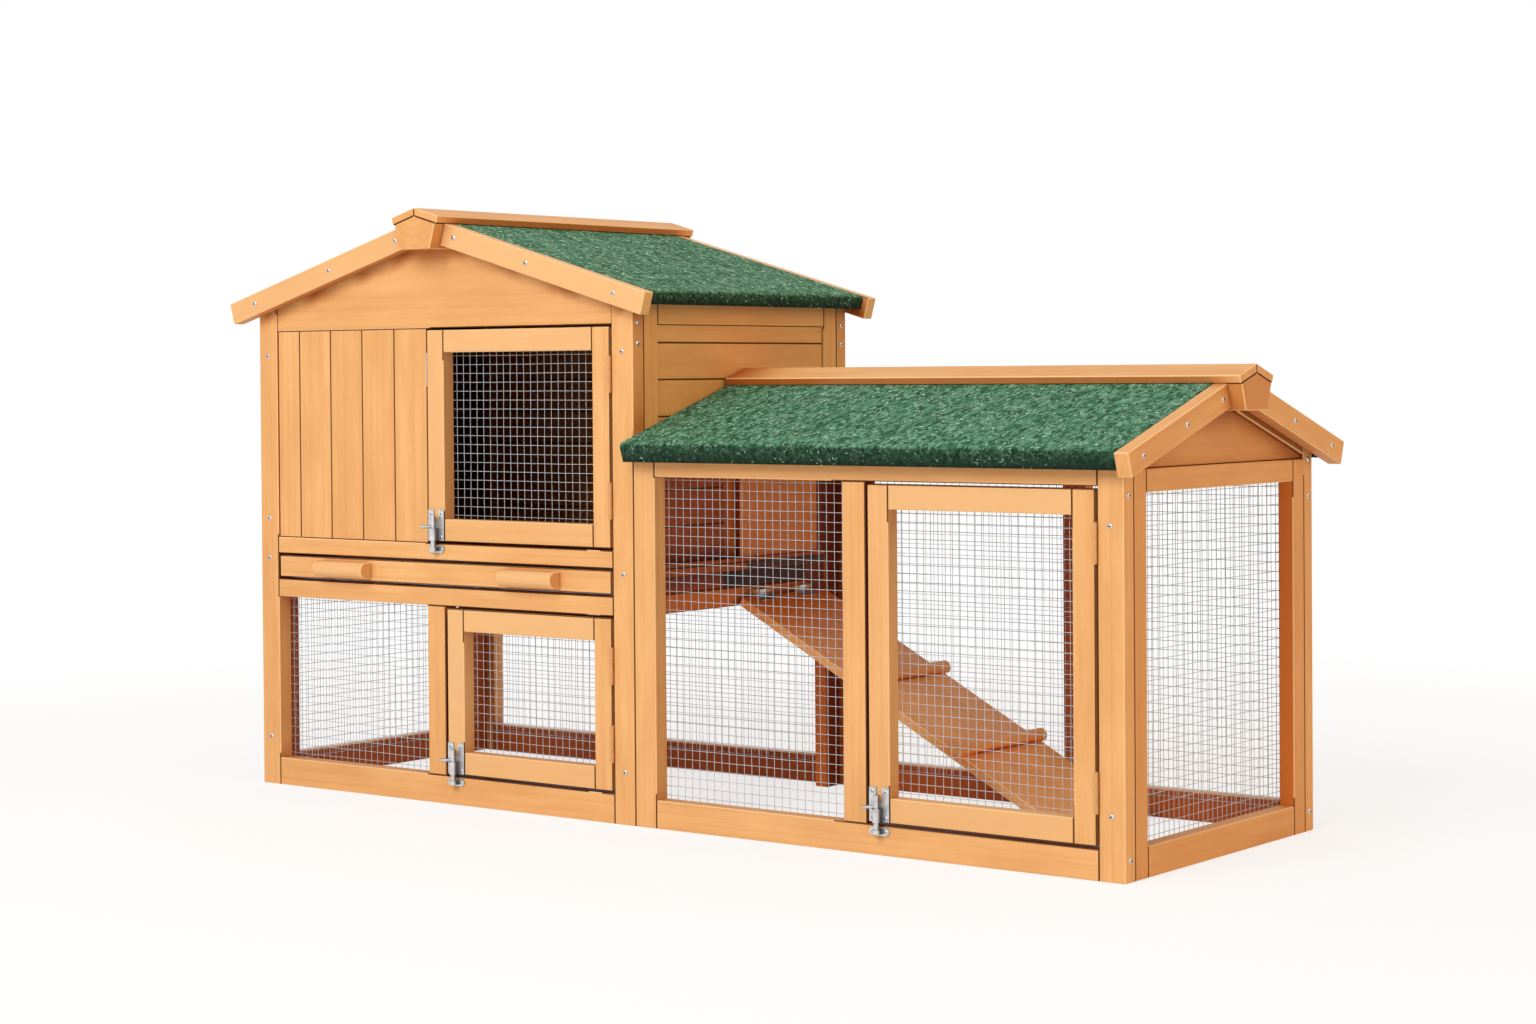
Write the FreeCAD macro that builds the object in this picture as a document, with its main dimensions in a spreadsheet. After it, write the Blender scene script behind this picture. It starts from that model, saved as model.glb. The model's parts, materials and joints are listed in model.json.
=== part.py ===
"""Two-tier wooden pet hutch: a gabled tower with a drawer, and a lower run with a ramp.

Millimetres, +X from the tower to the run, +Y to the back, +Z up.
The origin is under the middle of the hutch, on the ground.
"""
import FreeCAD, Part
import math
import os
import re

import Sketcher

# Driving dimensions: alias, size, meaning
DIMENSIONS = [
    ("frame_depth", 450, "front face to back face of the frame"),
    ("panel_thick", 22, "thickness of the front and back panels"),
    ("side_thick", 20, "thickness of the side and end panels"),
    ("side_stile", 28, "width of the upright battens in the side and end panels"),
    ("board_thick", 14, "thickness of the wall boards"),
    ("board_recess", 3, "how far the wall boards lie behind the frame's face"),
    ("arris", 1.2, "eased edge on every batten and board"),
    ("post_width", 34, "width of the tower's corner posts"),
    ("tower_width", 668, "tower, left face to right face"),
    ("bottom_rail", 37, "height of the tower's bottom rails"),
    ("floor_rail_z", 258, "underside of the rail below the drawer"),
    ("floor_rail", 24, "height of that rail"),
    ("floor_thick", 10, "thickness of the floor under the drawer"),
    ("tray_slot", 35, "height of the slot that the drawer fills"),
    ("mid_rail", 22, "height of the rail above the drawer"),
    ("gable_drop", 38, "from the tower's eave down to the underside of its gable boards"),
    ("plank_panel", 281, "width of the upright planks beside the upper door"),
    ("plank_first", 42, "width of the plank beside the post"),
    ("plank_thick", 14, "thickness of the upright planks"),
    ("lower_stile", 32, "width of the stile beside the lower door"),
    ("sill_board", 38, "height of the lowest wall board, below the doorway"),
    ("top_strip", 23, "height of the narrow board under the side's top rail"),
    ("doorway_width", 158, "clear width of the doorway into the run"),
    ("doorway_back", 37, "from the doorway to the back stile, filled by the back jamb"),
    ("jamb_width", 20, "width of the upright in front of the doorway"),
    ("tower_eave", 37, "reach of the tower's barge boards past its sides"),
    ("tower_eave_z", 658, "height of the outer top corner of those barge boards"),
    ("tower_roof_angle", 16, "slope of the tower's roof in degrees"),
    ("tower_barge_gap", 2, "reach of the tower's roof boards past its front and back"),
    ("run_width", 692, "run, from the tower's right face to its own end"),
    ("run_stile", 33, "width of the run's front and back stiles"),
    ("run_bottom_rail", 35, "height of the run's bottom rails"),
    ("run_rail_drop", 38, "from the run's eave down to the underside of its top rails"),
    ("run_net_width", 283, "clear width of the fixed net in the run's front"),
    ("run_back_bay", 321, "clear width of the left of the two bays in the run's back"),
    ("end_rail_drop", 46, "from the run's eave down to the underside of the end panel's top rail"),
    ("end_rail", 26, "height of the end panel's top rail"),
    ("end_board_thick", 10, "thickness of the triangle in the run's gable"),
    ("rafter_height", 18, "height of the rafters in the run's gable"),
    ("run_eave", 35, "reach of the run's barge boards past its front and back"),
    ("run_eave_z", 470, "height of the outer top corner of those barge boards"),
    ("run_roof_angle", 18, "slope of the run's roof in degrees"),
    ("run_barge_gap", 8, "reach of the run's roof boards past its end panel"),
    ("deck_thick", 10, "thickness of the roof boards"),
    ("felt_thick", 3.5, "thickness of the mineral felt"),
    ("felt_fold", 6, "radius of the felt's fold over the eave"),
    ("tower_felt_lip", 4, "how far the tower's felt hangs below its roof boards"),
    ("run_felt_lip", 10, "how far the run's felt hangs below its roof boards"),
    ("felt_short", 8, "how far the felt's edge stays inside the barge boards' ends"),
    ("barge_height", 29, "height of the barge boards"),
    ("barge_thick", 18, "thickness of the barge boards"),
    ("ridge_half", 36, "half the width of a ridge beam at its top"),
    ("ridge_height", 43, "height of a ridge beam at its middle"),
    ("ridge_nose", 18, "reach of a ridge beam past the barge boards"),
    ("cap_width", 40, "width of each ridge cap board"),
    ("cap_thick", 10, "thickness of the ridge cap boards"),
    ("net_pitch", 70, "about the distance from wire to wire, several real meshes"),
    ("net_wire", 6.5, "width of a wire, the same share of the distance as in the real net"),
    ("net_thick", 1.6, "thickness of the net"),
    ("net_lap", 10, "lap of a net onto the battens behind which it is stapled"),
    ("door_thick", 20, "thickness of the doors"),
    ("door_batten", 29, "width of the doors' stiles and rails"),
    ("door_gap", 3, "gap round a closed door"),
    ("hinge_length", 46, "length of a butt hinge"),
    ("hinge_inset", 36, "from a door's corner to its hinge"),
    ("knuckle_radius", 2.6, "outer radius of a hinge knuckle"),
    ("knuckle_stand", 0.4, "gap between the knuckles and the door's face"),
    ("knuckle_play", 0.3, "gap from knuckle to knuckle along the pin"),
    ("pin_radius", 1.3, "radius of a hinge pin"),
    ("pin_play", 0.05, "running gap round a hinge pin"),
    ("leaf_thick", 1.1, "thickness of a hinge leaf"),
    ("leaf_depth", 16, "depth of a hinge leaf"),
    ("bolt_plate_width", 28, "width of a bolt's plate and keeper"),
    ("bolt_plate_height", 40, "height of a bolt's plate"),
    ("plate_slot_width", 8, "width of the slot in the plate's upper half, behind the bolt"),
    ("plate_slot_height", 17, "height of that slot"),
    ("bolt_plate_thick", 1.2, "thickness of a bolt's plate and keeper"),
    ("bolt_edge", 1, "from the door's edges to the bolt's plate"),
    ("bolt_radius", 3.5, "radius of the sliding bolt"),
    ("bolt_play", 0.3, "gap round the sliding bolt"),
    ("barrel_wall", 1.5, "wall of the barrel round the bolt"),
    ("barrel_height", 16, "height of the barrel"),
    ("strap_height", 5, "height of the keeper's strap"),
    ("bolt_reach", 13, "reach of the bolt below the door"),
    ("bolt_tip", 3, "length of the bolt's tapered tip"),
    ("bolt_short", 8, "from the plate's top edge down to the lowered bolt's upper end"),
    ("knob_radius", 2.2, "radius of the bolt's knob"),
    ("knob_length", 17, "length of the knob from the bolt's middle"),
    ("keeper_height", 10, "height of the keeper on the rail below, and width of its rounded ends"),
    ("keeper_drop", 2, "from the rail's top edge to the keeper"),
    ("tray_front", 18, "thickness of the drawer's wooden front"),
    ("tray_gap", 3, "gap round the drawer's front"),
    ("tray_side_gap", 6, "gap from the drawer's pan to the posts"),
    ("tray_back_gap", 12, "gap from the drawer's pan to the back panel"),
    ("tray_lift", 0.4, "gap under the drawer's pan"),
    ("tray_height", 25, "height of the drawer's pan"),
    ("tray_wall", 1.5, "sheet thickness of the drawer's pan"),
    ("handle_length", 92, "length of a drawer handle"),
    ("handle_half", 11, "half the height of a drawer handle, and its nose radius"),
    ("handle_straight", 11, "straight depth of a drawer handle behind its nose"),
    ("handle_offset", 167, "from the tower's middle to the middle of a handle"),
    ("hatch_thick", 10, "thickness of the sliding hatch"),
    ("hatch_lap", 4, "lap of the hatch over the doorway's edges"),
    ("hatch_play", 0.5, "gap round the hatch in its runners"),
    ("runner_height", 10, "height of a runner's base"),
    ("runner_lip", 5, "thickness of a runner's lip"),
    ("runner_cover", 6, "height of the hatch covered by a runner's lip"),
    ("runner_front", 16, "from the front panel to the runners' front ends"),
    ("runner_back", 52, "from the back panel to the runners' back ends"),
    ("ramp_angle", 28, "slope of the lowered ramp in degrees"),
    ("ramp_hinge_z", 275, "height of the ramp's hinge"),
    ("ramp_width", 182, "width of the ramp board"),
    ("ramp_thick", 11, "thickness of the ramp board"),
    ("ramp_setback", 6, "from the ramp's hinge to the board's upper end"),
    ("ramp_foot_gap", 0.5, "gap between the ramp's foot and the ground"),
    ("cleat_radius", 9, "radius of the round cleats"),
    ("cleat_first", 216, "from the ramp's hinge to its first cleat"),
    ("cleat_last", 12, "from the ramp's foot to its last cleat"),
    ("cleat_over", 8, "reach of a cleat past the board's edges"),
    ("ramp_hinge_width", 36, "length of a ramp hinge"),
    ("ramp_hinge_apart", 88, "distance between the two ramp hinges"),
    ("ramp_knuckle", 3, "outer radius of a ramp hinge's knuckle"),
    ("ramp_knuckle_stand", 1, "gap between those knuckles and the wall"),
    ("ramp_leaf", 15, "depth of a ramp hinge's leaf"),
]
ALIASES = {alias for alias, size, meaning in DIMENSIONS}
CLEATS = 3
WALL_BOARDS = 6
DOORWAY_BOARDS = 3
PLANKS = 5
KNUCKLE_SIDES = 12

doc = FreeCAD.newDocument("pet_hutch")
sheet = doc.addObject("Spreadsheet::Sheet", "dims")
for row, (alias, size, meaning) in enumerate(DIMENSIONS, start=1):
    sheet.set(f"A{row}", meaning)
    sheet.set(f"B{row}", str(size))
    sheet.setAlias(f"B{row}", alias)
doc.recompute()

nodes = []
nets = []


# Helpers

def bound(text):
    """Turn a formula in plain size names into an expression on the sheet's cells."""
    return re.sub(r"[A-Za-z_]\w*", lambda word: "dims." + word[0] if word[0] in ALIASES else word[0], text)


def bind(thing, **formulas):
    """Bind properties of an object to formulas; x, y, z and turn stand for its Placement."""
    paths = {"x": "Placement.Base.x", "y": "Placement.Base.y", "z": "Placement.Base.z",
             "turn": "Placement.Rotation.Angle"}
    for name, formula in formulas.items():
        thing.setExpression(paths.get(name, name), bound(formula))


def ease(body, stock):
    """Chamfer every edge of a body's last feature."""
    edges = body.newObject("PartDesign::Chamfer", body.Name + "_arris")
    edges.Base = (stock, [""])
    edges.UseAllEdges = True
    bind(edges, Size="arris")


def batten(name, x, y, z, along_x, along_y, along_z, axis=None, turn=None):
    """A straight piece of timber with eased edges, turned about an axis where one is given."""
    body = doc.addObject("PartDesign::Body", name)
    stock = body.newObject("PartDesign::AdditiveBox", name + "_stock")
    bind(stock, Length=along_x, Width=along_y, Height=along_z)
    ease(body, stock)
    if axis:
        body.Placement.Rotation = FreeCAD.Rotation(axis, 1)
        bind(body, turn=turn)
    bind(body, x=x, y=y, z=z)
    return body


def outline(body, plane, points):
    """A sketch whose corners are placed by formulas, on one of the body's origin planes."""
    sketch = body.newObject("Sketcher::SketchObject", body.Name + "_outline")
    support = [part for part in body.Origin.OriginFeatures if part.Role == plane][0]
    sketch.AttachmentSupport = [(support, "")]
    sketch.MapMode = "FlatFace"
    count = len(points)
    start = [FreeCAD.Vector(math.cos(2 * math.pi * n / count), math.sin(2 * math.pi * n / count), 0)
             for n in range(count)]
    for n in range(count):
        sketch.addGeometry(Part.LineSegment(start[n], start[(n + 1) % count]), False)
    for n in range(count):
        sketch.addConstraint(Sketcher.Constraint("Coincident", n, 2, (n + 1) % count, 1))
    for n, corner in enumerate(points):
        for kind, here, formula in zip(("DistanceX", "DistanceY"), start[n], corner):
            index = sketch.addConstraint(Sketcher.Constraint(kind, -1, 1, n, 1, here))
            sketch.setExpression(f"Constraints[{index}]", bound(formula))
    return sketch


def profile(name, plane, points, start, length, eased=True):
    """A piece of one section, drawn on a plane and padded along +X, +Y or +Z."""
    body = doc.addObject("PartDesign::Body", name)
    sketch = outline(body, plane, points)
    backwards = plane == "XZ_Plane"
    sketch.setExpression("AttachmentOffset.Base.z", bound(f"-({start})" if backwards else start))
    pad = body.newObject("PartDesign::Pad", name + "_pad")
    pad.Profile = sketch
    pad.Reversed = backwards
    bind(pad, Length=length)
    if eased:
        ease(body, pad)
    return body


def mirrored(source, name, normal, at="0"):
    """The same piece on the other side of a plane."""
    copy = doc.addObject("Part::Mirroring", name)
    copy.Source = source
    copy.Normal = normal
    axis = "x" if normal.x else "y"
    copy.setExpression("Base." + axis, bound(at))
    return copy


def feature(body, kind, name, axis=None, turn=90, **formulas):
    """A primitive added to, or taken from, a body."""
    shape = body.newObject("PartDesign::" + kind, f"{body.Name}_{name}")
    if axis:
        shape.Placement.Rotation = FreeCAD.Rotation(axis, turn)
    bind(shape, **formulas)
    return shape


def node(label, *pieces):
    """Name the pieces that share one file."""
    if len(pieces) == 1:
        pieces[0].Label = label
        nodes.append(pieces[0])
        return pieces[0]
    group = doc.addObject("Part::Compound", label)
    group.Links = list(pieces)
    nodes.append(group)
    return group


def net(label, x, y, z, across, up, normal):
    """Keep the bound place of a wire net; its holes are cut once the sizes are known."""
    blank = doc.addObject("Part::Box", label + "_blank")
    flat = normal is Y_AXIS
    bind(blank, x=x, y=y, z=z, Height=up,
         Length=across if flat else "net_thick", Width="net_thick" if flat else across)
    nets.append((label, blank, flat))


X_AXIS = FreeCAD.Vector(1, 0, 0)
Y_AXIS = FreeCAD.Vector(0, 1, 0)

# Places that many pieces share
OVERALL = "(tower_eave + tower_width + run_width + run_barge_gap + barge_thick + ridge_nose)"
TOWER_LEFT = f"(tower_eave - {OVERALL} / 2)"
TOWER_RIGHT = f"({TOWER_LEFT} + tower_width)"
TOWER_MID = f"({TOWER_LEFT} + tower_width / 2)"
POST_LEFT = f"({TOWER_LEFT} + post_width)"
POST_RIGHT = f"({TOWER_RIGHT} - post_width)"
BETWEEN_POSTS = "(tower_width - 2 * post_width)"
RUN_RIGHT = f"({TOWER_RIGHT} + run_width)"
FRONT = "(-frame_depth / 2)"
BACK = "(frame_depth / 2)"
FRONT_IN = f"({FRONT} + panel_thick)"
BACK_IN = f"({BACK} - panel_thick)"
SIDE_DEPTH = "(frame_depth - 2 * panel_thick)"
STILE_FRONT = f"({FRONT_IN} + side_stile)"
STILE_BACK = f"({BACK_IN} - side_stile)"
BETWEEN_STILES = f"({SIDE_DEPTH} - 2 * side_stile)"
GABLE_Z = "(tower_eave_z - gable_drop)"
RUN_RAIL_Z = "(run_eave_z - run_rail_drop)"
END_RAIL_Z = "(run_eave_z - end_rail_drop)"
FLOOR_TOP = "(floor_rail_z + floor_rail)"
SLOT_TOP = f"({FLOOR_TOP} + tray_slot)"
ROOM_SILL = f"({SLOT_TOP} + mid_rail)"
UPPER_DOOR_LEFT = f"({POST_LEFT} + plank_panel)"
LOWER_DOOR_LEFT = f"({UPPER_DOOR_LEFT} + lower_stile)"
DOORWAY_SILL = f"({FLOOR_TOP} + sill_board)"
WALL_BOARD = f"(({GABLE_Z} - top_strip - {DOORWAY_SILL}) / {WALL_BOARDS})"
DOORWAY_HEAD = f"({DOORWAY_SILL} + {DOORWAY_BOARDS} * {WALL_BOARD})"
DOORWAY_BACK = f"({STILE_BACK} - doorway_back)"
DOORWAY_FRONT = f"({DOORWAY_BACK} - doorway_width)"
ROOF_THICK = "(deck_thick + felt_thick)"
TOWER_OUT = "(tower_barge_gap + barge_thick + ridge_nose)"
RUN_OUT = "(run_barge_gap + barge_thick + ridge_nose)"


def slope(trig, pitch):
    return f"{trig}({pitch} * 1 deg)"


def roof_line(which, inward):
    """Height of the barge boards' top line, at a distance inside the frame's outer face."""
    return f"({which}_eave_z + ({which}_eave + {inward}) * {slope('tan', which + '_roof_angle')})"


def roof_under(which, inward, below=ROOF_THICK):
    """Height of a surface that lies that far below the top line, square to the slope."""
    return f"({roof_line(which, inward)} - ({below}) / {slope('cos', which + '_roof_angle')})"


# Tower front panel

left_post = profile("tower_front_left_post", "XZ_Plane", [
    (TOWER_LEFT, "0"),
    (POST_LEFT, "0"),
    (POST_LEFT, roof_under("tower", "post_width")),
    (TOWER_LEFT, roof_under("tower", "0")),
], FRONT, "panel_thick")
right_post = mirrored(left_post, "tower_front_right_post", X_AXIS, TOWER_MID)


def tower_rail(name, z, height, at_front=True):
    return batten(name, POST_LEFT, FRONT if at_front else BACK_IN, z,
                  BETWEEN_POSTS, "panel_thick", height)


node("tower_front_frame", left_post, right_post,
     tower_rail("tower_front_bottom_rail", "0", "bottom_rail"),
     tower_rail("tower_front_drawer_rail", "floor_rail_z", "floor_rail"),
     tower_rail("tower_front_mid_rail", SLOT_TOP, "mid_rail"),
     batten("tower_front_lower_stile", UPPER_DOOR_LEFT, FRONT, "bottom_rail",
            "lower_stile", "panel_thick", "floor_rail_z - bottom_rail"))
plank_width = f"((plank_panel - plank_first) / {PLANKS - 1})"
planks = [batten("tower_plank_1", POST_LEFT, f"{FRONT} + board_recess", ROOM_SILL,
                 "plank_first", "plank_thick", f"{GABLE_Z} - {ROOM_SILL}")]
for n in range(1, PLANKS):
    planks.append(batten(f"tower_plank_{n + 1}", f"{POST_LEFT} + plank_first + {n - 1} * {plank_width}",
                         f"{FRONT} + board_recess", ROOM_SILL,
                         plank_width, "plank_thick", f"{GABLE_Z} - {ROOM_SILL}"))
node("tower_front_planks", *planks)
net("tower_front_net", f"{POST_LEFT} - net_lap", FRONT_IN, "bottom_rail - net_lap",
    "plank_panel + 2 * net_lap", "floor_rail_z - bottom_rail + 2 * net_lap", Y_AXIS)


# Roofs: ridge beams, boards, felts, caps and barge boards

def ridge_section(which, middle, half_span):
    """House-shaped section of a ridge beam, with sides square to the roof's slopes."""
    tan = slope("tan", which + "_roof_angle")
    apex = roof_line(which, half_span)
    drop = f"(ridge_height - ridge_half * {tan})"
    foot = f"(ridge_half - {drop} * {tan})"
    return [(middle, apex),
            (f"{middle} + ridge_half", f"{apex} - ridge_half * {tan}"),
            (f"{middle} + {foot}", f"{apex} - ridge_height"),
            (f"{middle} - {foot}", f"{apex} - ridge_height"),
            (f"{middle} - ridge_half", f"{apex} - ridge_half * {tan}")]


def cap_section(which, middle, half_span):
    """One mitred cap board on the left or front slope."""
    sin, cos = (slope(trig, which + "_roof_angle") for trig in ("sin", "cos"))
    apex = roof_line(which, half_span)
    return [(middle, apex),
            (middle, f"{apex} + cap_thick / {cos}"),
            (f"{middle} - cap_width * {cos} - cap_thick * {sin}",
             f"{apex} - cap_width * {sin} + cap_thick * {cos}"),
            (f"{middle} - cap_width * {cos}", f"{apex} - cap_width * {sin}")]


def on_slope(which, outer, reach, depth):
    """Formulas for a point under the top line: reach is measured out from the frame's face."""
    sin, cos = (slope(trig, which + "_roof_angle") for trig in ("sin", "cos"))
    return (f"{outer} - {reach} + ({depth}) * {sin}",
            f"{roof_line(which, '(-' + reach + ')')} - ({depth}) * {cos}")


def slope_length(which, half_span, reach):
    return f"(({half_span} + {reach} - ridge_half) / {slope('cos', which + '_roof_angle')})"


DECK_REACH = {which: f"({which}_eave - felt_short - felt_fold)" for which in ("tower", "run")}


def felt(name, which, half_span, start, run_length, along):
    """Felt on the left or front slope, in the slope's own frame, folded down over the eave."""
    body = doc.addObject("PartDesign::Body", name)
    level = along is Y_AXIS
    long_way, cross_way = ("Width", "Length") if level else ("Length", "Width")
    cover = slope_length(which, half_span, DECK_REACH[which])
    feature(body, "AdditiveBox", "sheet",
            **{cross_way: cover, long_way: run_length, "Height": "felt_thick"})
    feature(body, "AdditiveCylinder", "fold", axis=X_AXIS if level else Y_AXIS, turn=-90 if level else 90,
            Radius="felt_fold", Height=run_length, z="felt_thick - felt_fold")
    feature(body, "AdditiveBox", "flap", z=f"-deck_thick - {which}_felt_lip",
            **{"x" if level else "y": "-felt_fold", cross_way: "felt_fold", long_way: run_length,
               "Height": f"deck_thick + {which}_felt_lip + felt_thick - felt_fold"})
    feature(body, "SubtractiveBox", "boards", z="-deck_thick",
            **{cross_way: cover, long_way: run_length, "Height": "deck_thick"})
    outer = TOWER_LEFT if level else FRONT
    place, height = on_slope(which, outer, DECK_REACH[which], "felt_thick")
    body.Placement.Rotation = FreeCAD.Rotation(FreeCAD.Vector(0, -1, 0) if level else X_AXIS, 1)
    bind(body, turn=f"{which}_roof_angle * 1 deg", z=height, **{"x" if level else "y": place,
                                                          "y" if level else "x": start})
    return body


def roof_board(name, which, half_span, start, run_length, along, reach, depth, thick):
    """A straight board that lies on the left or front slope, square to it."""
    level = along is Y_AXIS
    outer = TOWER_LEFT if level else FRONT
    place, height = on_slope(which, outer, reach, f"{depth} + {thick}")
    up_slope = slope_length(which, half_span, reach)
    turn = f"{which}_roof_angle * 1 deg"
    if level:
        return batten(name, place, start, height, up_slope, run_length, thick, FreeCAD.Vector(0, -1, 0), turn)
    return batten(name, start, place, height, run_length, up_slope, thick, X_AXIS, turn)


TOWER_HALF = "tower_width / 2"
RUN_HALF = "frame_depth / 2"
TOWER_DECK_START = f"{FRONT} - tower_barge_gap"
TOWER_DECK_LENGTH = "frame_depth + 2 * tower_barge_gap"
RUN_DECK_LENGTH = "run_width + run_barge_gap"

tower_beam = node("tower_ridge_beam", profile(
    "tower_beam", "XZ_Plane", ridge_section("tower", TOWER_MID, TOWER_HALF),
    f"{FRONT} - {TOWER_OUT}", f"frame_depth + 2 * {TOWER_OUT}"))
left_cap = profile("tower_left_cap", "XZ_Plane", cap_section("tower", TOWER_MID, TOWER_HALF),
                   f"{FRONT} - {TOWER_OUT}", f"frame_depth + 2 * {TOWER_OUT}")
node("tower_ridge_cap", left_cap, mirrored(left_cap, "tower_right_cap", X_AXIS, TOWER_MID))
left_deck = roof_board("tower_left_deck", "tower", TOWER_HALF, TOWER_DECK_START, TOWER_DECK_LENGTH,
                       Y_AXIS, DECK_REACH["tower"], "felt_thick", "deck_thick")
node("tower_roof_boards", left_deck, mirrored(left_deck, "tower_right_deck", X_AXIS, TOWER_MID))
left_felt = felt("tower_left_felt", "tower", TOWER_HALF, TOWER_DECK_START, TOWER_DECK_LENGTH, Y_AXIS)
node("tower_felt", left_felt, mirrored(left_felt, "tower_right_felt", X_AXIS, TOWER_MID))
left_barge = roof_board("tower_front_left_barge", "tower", TOWER_HALF,
                        f"{FRONT} - tower_barge_gap - barge_thick", "barge_thick",
                        Y_AXIS, "tower_eave", "0", "barge_height")
right_barge = mirrored(left_barge, "tower_front_right_barge", X_AXIS, TOWER_MID)
node("tower_barge_boards", left_barge, right_barge,
     mirrored(left_barge, "tower_back_left_barge", Y_AXIS),
     mirrored(right_barge, "tower_back_right_barge", Y_AXIS))

run_beam = node("run_ridge_beam", profile(
    "run_beam", "YZ_Plane", ridge_section("run", "0", RUN_HALF), TOWER_RIGHT, f"run_width + {RUN_OUT}"))
front_cap = profile("run_front_cap", "YZ_Plane", cap_section("run", "0", RUN_HALF),
                    TOWER_RIGHT, f"run_width + {RUN_OUT}")
node("run_ridge_cap", front_cap, mirrored(front_cap, "run_back_cap", Y_AXIS))
front_deck = roof_board("run_front_deck", "run", RUN_HALF, TOWER_RIGHT, RUN_DECK_LENGTH,
                        X_AXIS, DECK_REACH["run"], "felt_thick", "deck_thick")
node("run_roof_boards", front_deck, mirrored(front_deck, "run_back_deck", Y_AXIS))
front_felt = felt("run_front_felt", "run", RUN_HALF, TOWER_RIGHT, RUN_DECK_LENGTH, X_AXIS)
node("run_felt", front_felt, mirrored(front_felt, "run_back_felt", Y_AXIS))
front_barge = roof_board("run_front_barge", "run", RUN_HALF, f"{RUN_RIGHT} + run_barge_gap", "barge_thick",
                         X_AXIS, "run_eave", "0", "barge_height")
node("run_barge_boards", front_barge, mirrored(front_barge, "run_back_barge", Y_AXIS))


# Tower gables, notched for the ridge beam

def notched(name, board, beam):
    cut = doc.addObject("Part::Cut", name)
    cut.Base = board
    cut.Tool = beam
    return cut


gable_points = [(POST_LEFT, GABLE_Z),
                (POST_RIGHT, GABLE_Z),
                (POST_RIGHT, roof_under("tower", "post_width")),
                (TOWER_MID, roof_under("tower", TOWER_HALF)),
                (POST_LEFT, roof_under("tower", "post_width"))]
front_gable = profile("tower_front_gable_blank", "XZ_Plane", gable_points,
                      f"{FRONT} + board_recess / 2", "board_thick")
node("tower_front_gable", notched("tower_front_gable_cut", front_gable, tower_beam))
back_gable = profile("tower_back_gable_blank", "XZ_Plane", gable_points,
                     f"{BACK} - board_recess / 2 - board_thick", "board_thick")
node("tower_back_gable", notched("tower_back_gable_cut", back_gable, tower_beam))


# Tower back panel

node("tower_back_frame",
     mirrored(left_post, "tower_back_left_post", Y_AXIS),
     mirrored(right_post, "tower_back_right_post", Y_AXIS),
     tower_rail("tower_back_bottom_rail", "0", "bottom_rail", at_front=False),
     tower_rail("tower_back_floor_rail", "floor_rail_z", "floor_rail", at_front=False))
net("tower_back_net", f"{POST_LEFT} - net_lap", f"{BACK_IN} - net_thick", "bottom_rail - net_lap",
    f"{BETWEEN_POSTS} + 2 * net_lap", "floor_rail_z - bottom_rail + 2 * net_lap", Y_AXIS)


def wall_levels():
    """Bottom and height of each level wall board, from the floor up."""
    yield FLOOR_TOP, "sill_board"
    for n in range(WALL_BOARDS):
        yield f"({DOORWAY_SILL} + {n} * {WALL_BOARD})", WALL_BOARD
    yield f"({GABLE_Z} - top_strip)", "top_strip"


node("tower_back_boards", *[
    batten(f"tower_back_board_{n}", POST_LEFT, f"{BACK} - board_recess - board_thick", bottom,
           BETWEEN_POSTS, "board_thick", height)
    for n, (bottom, height) in enumerate(wall_levels(), start=1)])


# Tower side panels

def side_upright(name, y):
    return profile(name, "XZ_Plane", [
        (TOWER_LEFT, "0"),
        (f"{TOWER_LEFT} + side_thick", "0"),
        (f"{TOWER_LEFT} + side_thick", roof_under("tower", "side_thick")),
        (TOWER_LEFT, roof_under("tower", "0")),
    ], y, "side_stile")


left_front_stile = side_upright("tower_left_front_stile", FRONT_IN)
left_back_stile = side_upright("tower_left_back_stile", STILE_BACK)
left_top_rail = profile("tower_left_top_rail", "XZ_Plane", [
    (TOWER_LEFT, GABLE_Z),
    (f"{TOWER_LEFT} + side_thick", GABLE_Z),
    (f"{TOWER_LEFT} + side_thick", roof_under("tower", "side_thick")),
    (TOWER_LEFT, roof_under("tower", "0")),
], STILE_FRONT, BETWEEN_STILES)
left_floor_rail = batten("tower_left_floor_rail", TOWER_LEFT, STILE_FRONT, "floor_rail_z",
                         "side_thick", BETWEEN_STILES, "floor_rail")
node("tower_left_frame", left_front_stile, left_back_stile, left_top_rail, left_floor_rail,
     batten("tower_left_bottom_rail", TOWER_LEFT, STILE_FRONT, "0",
            "side_thick", BETWEEN_STILES, "bottom_rail"))
node("tower_left_boards", *[
    batten(f"tower_left_board_{n}", f"{TOWER_LEFT} + board_recess", STILE_FRONT, bottom,
           "board_thick", BETWEEN_STILES, height)
    for n, (bottom, height) in enumerate(wall_levels(), start=1)])
net("tower_left_net", f"{TOWER_LEFT} + side_thick", f"{STILE_FRONT} - net_lap", "bottom_rail - net_lap",
    f"{BETWEEN_STILES} + 2 * net_lap", "floor_rail_z - bottom_rail + 2 * net_lap", X_AXIS)

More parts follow.
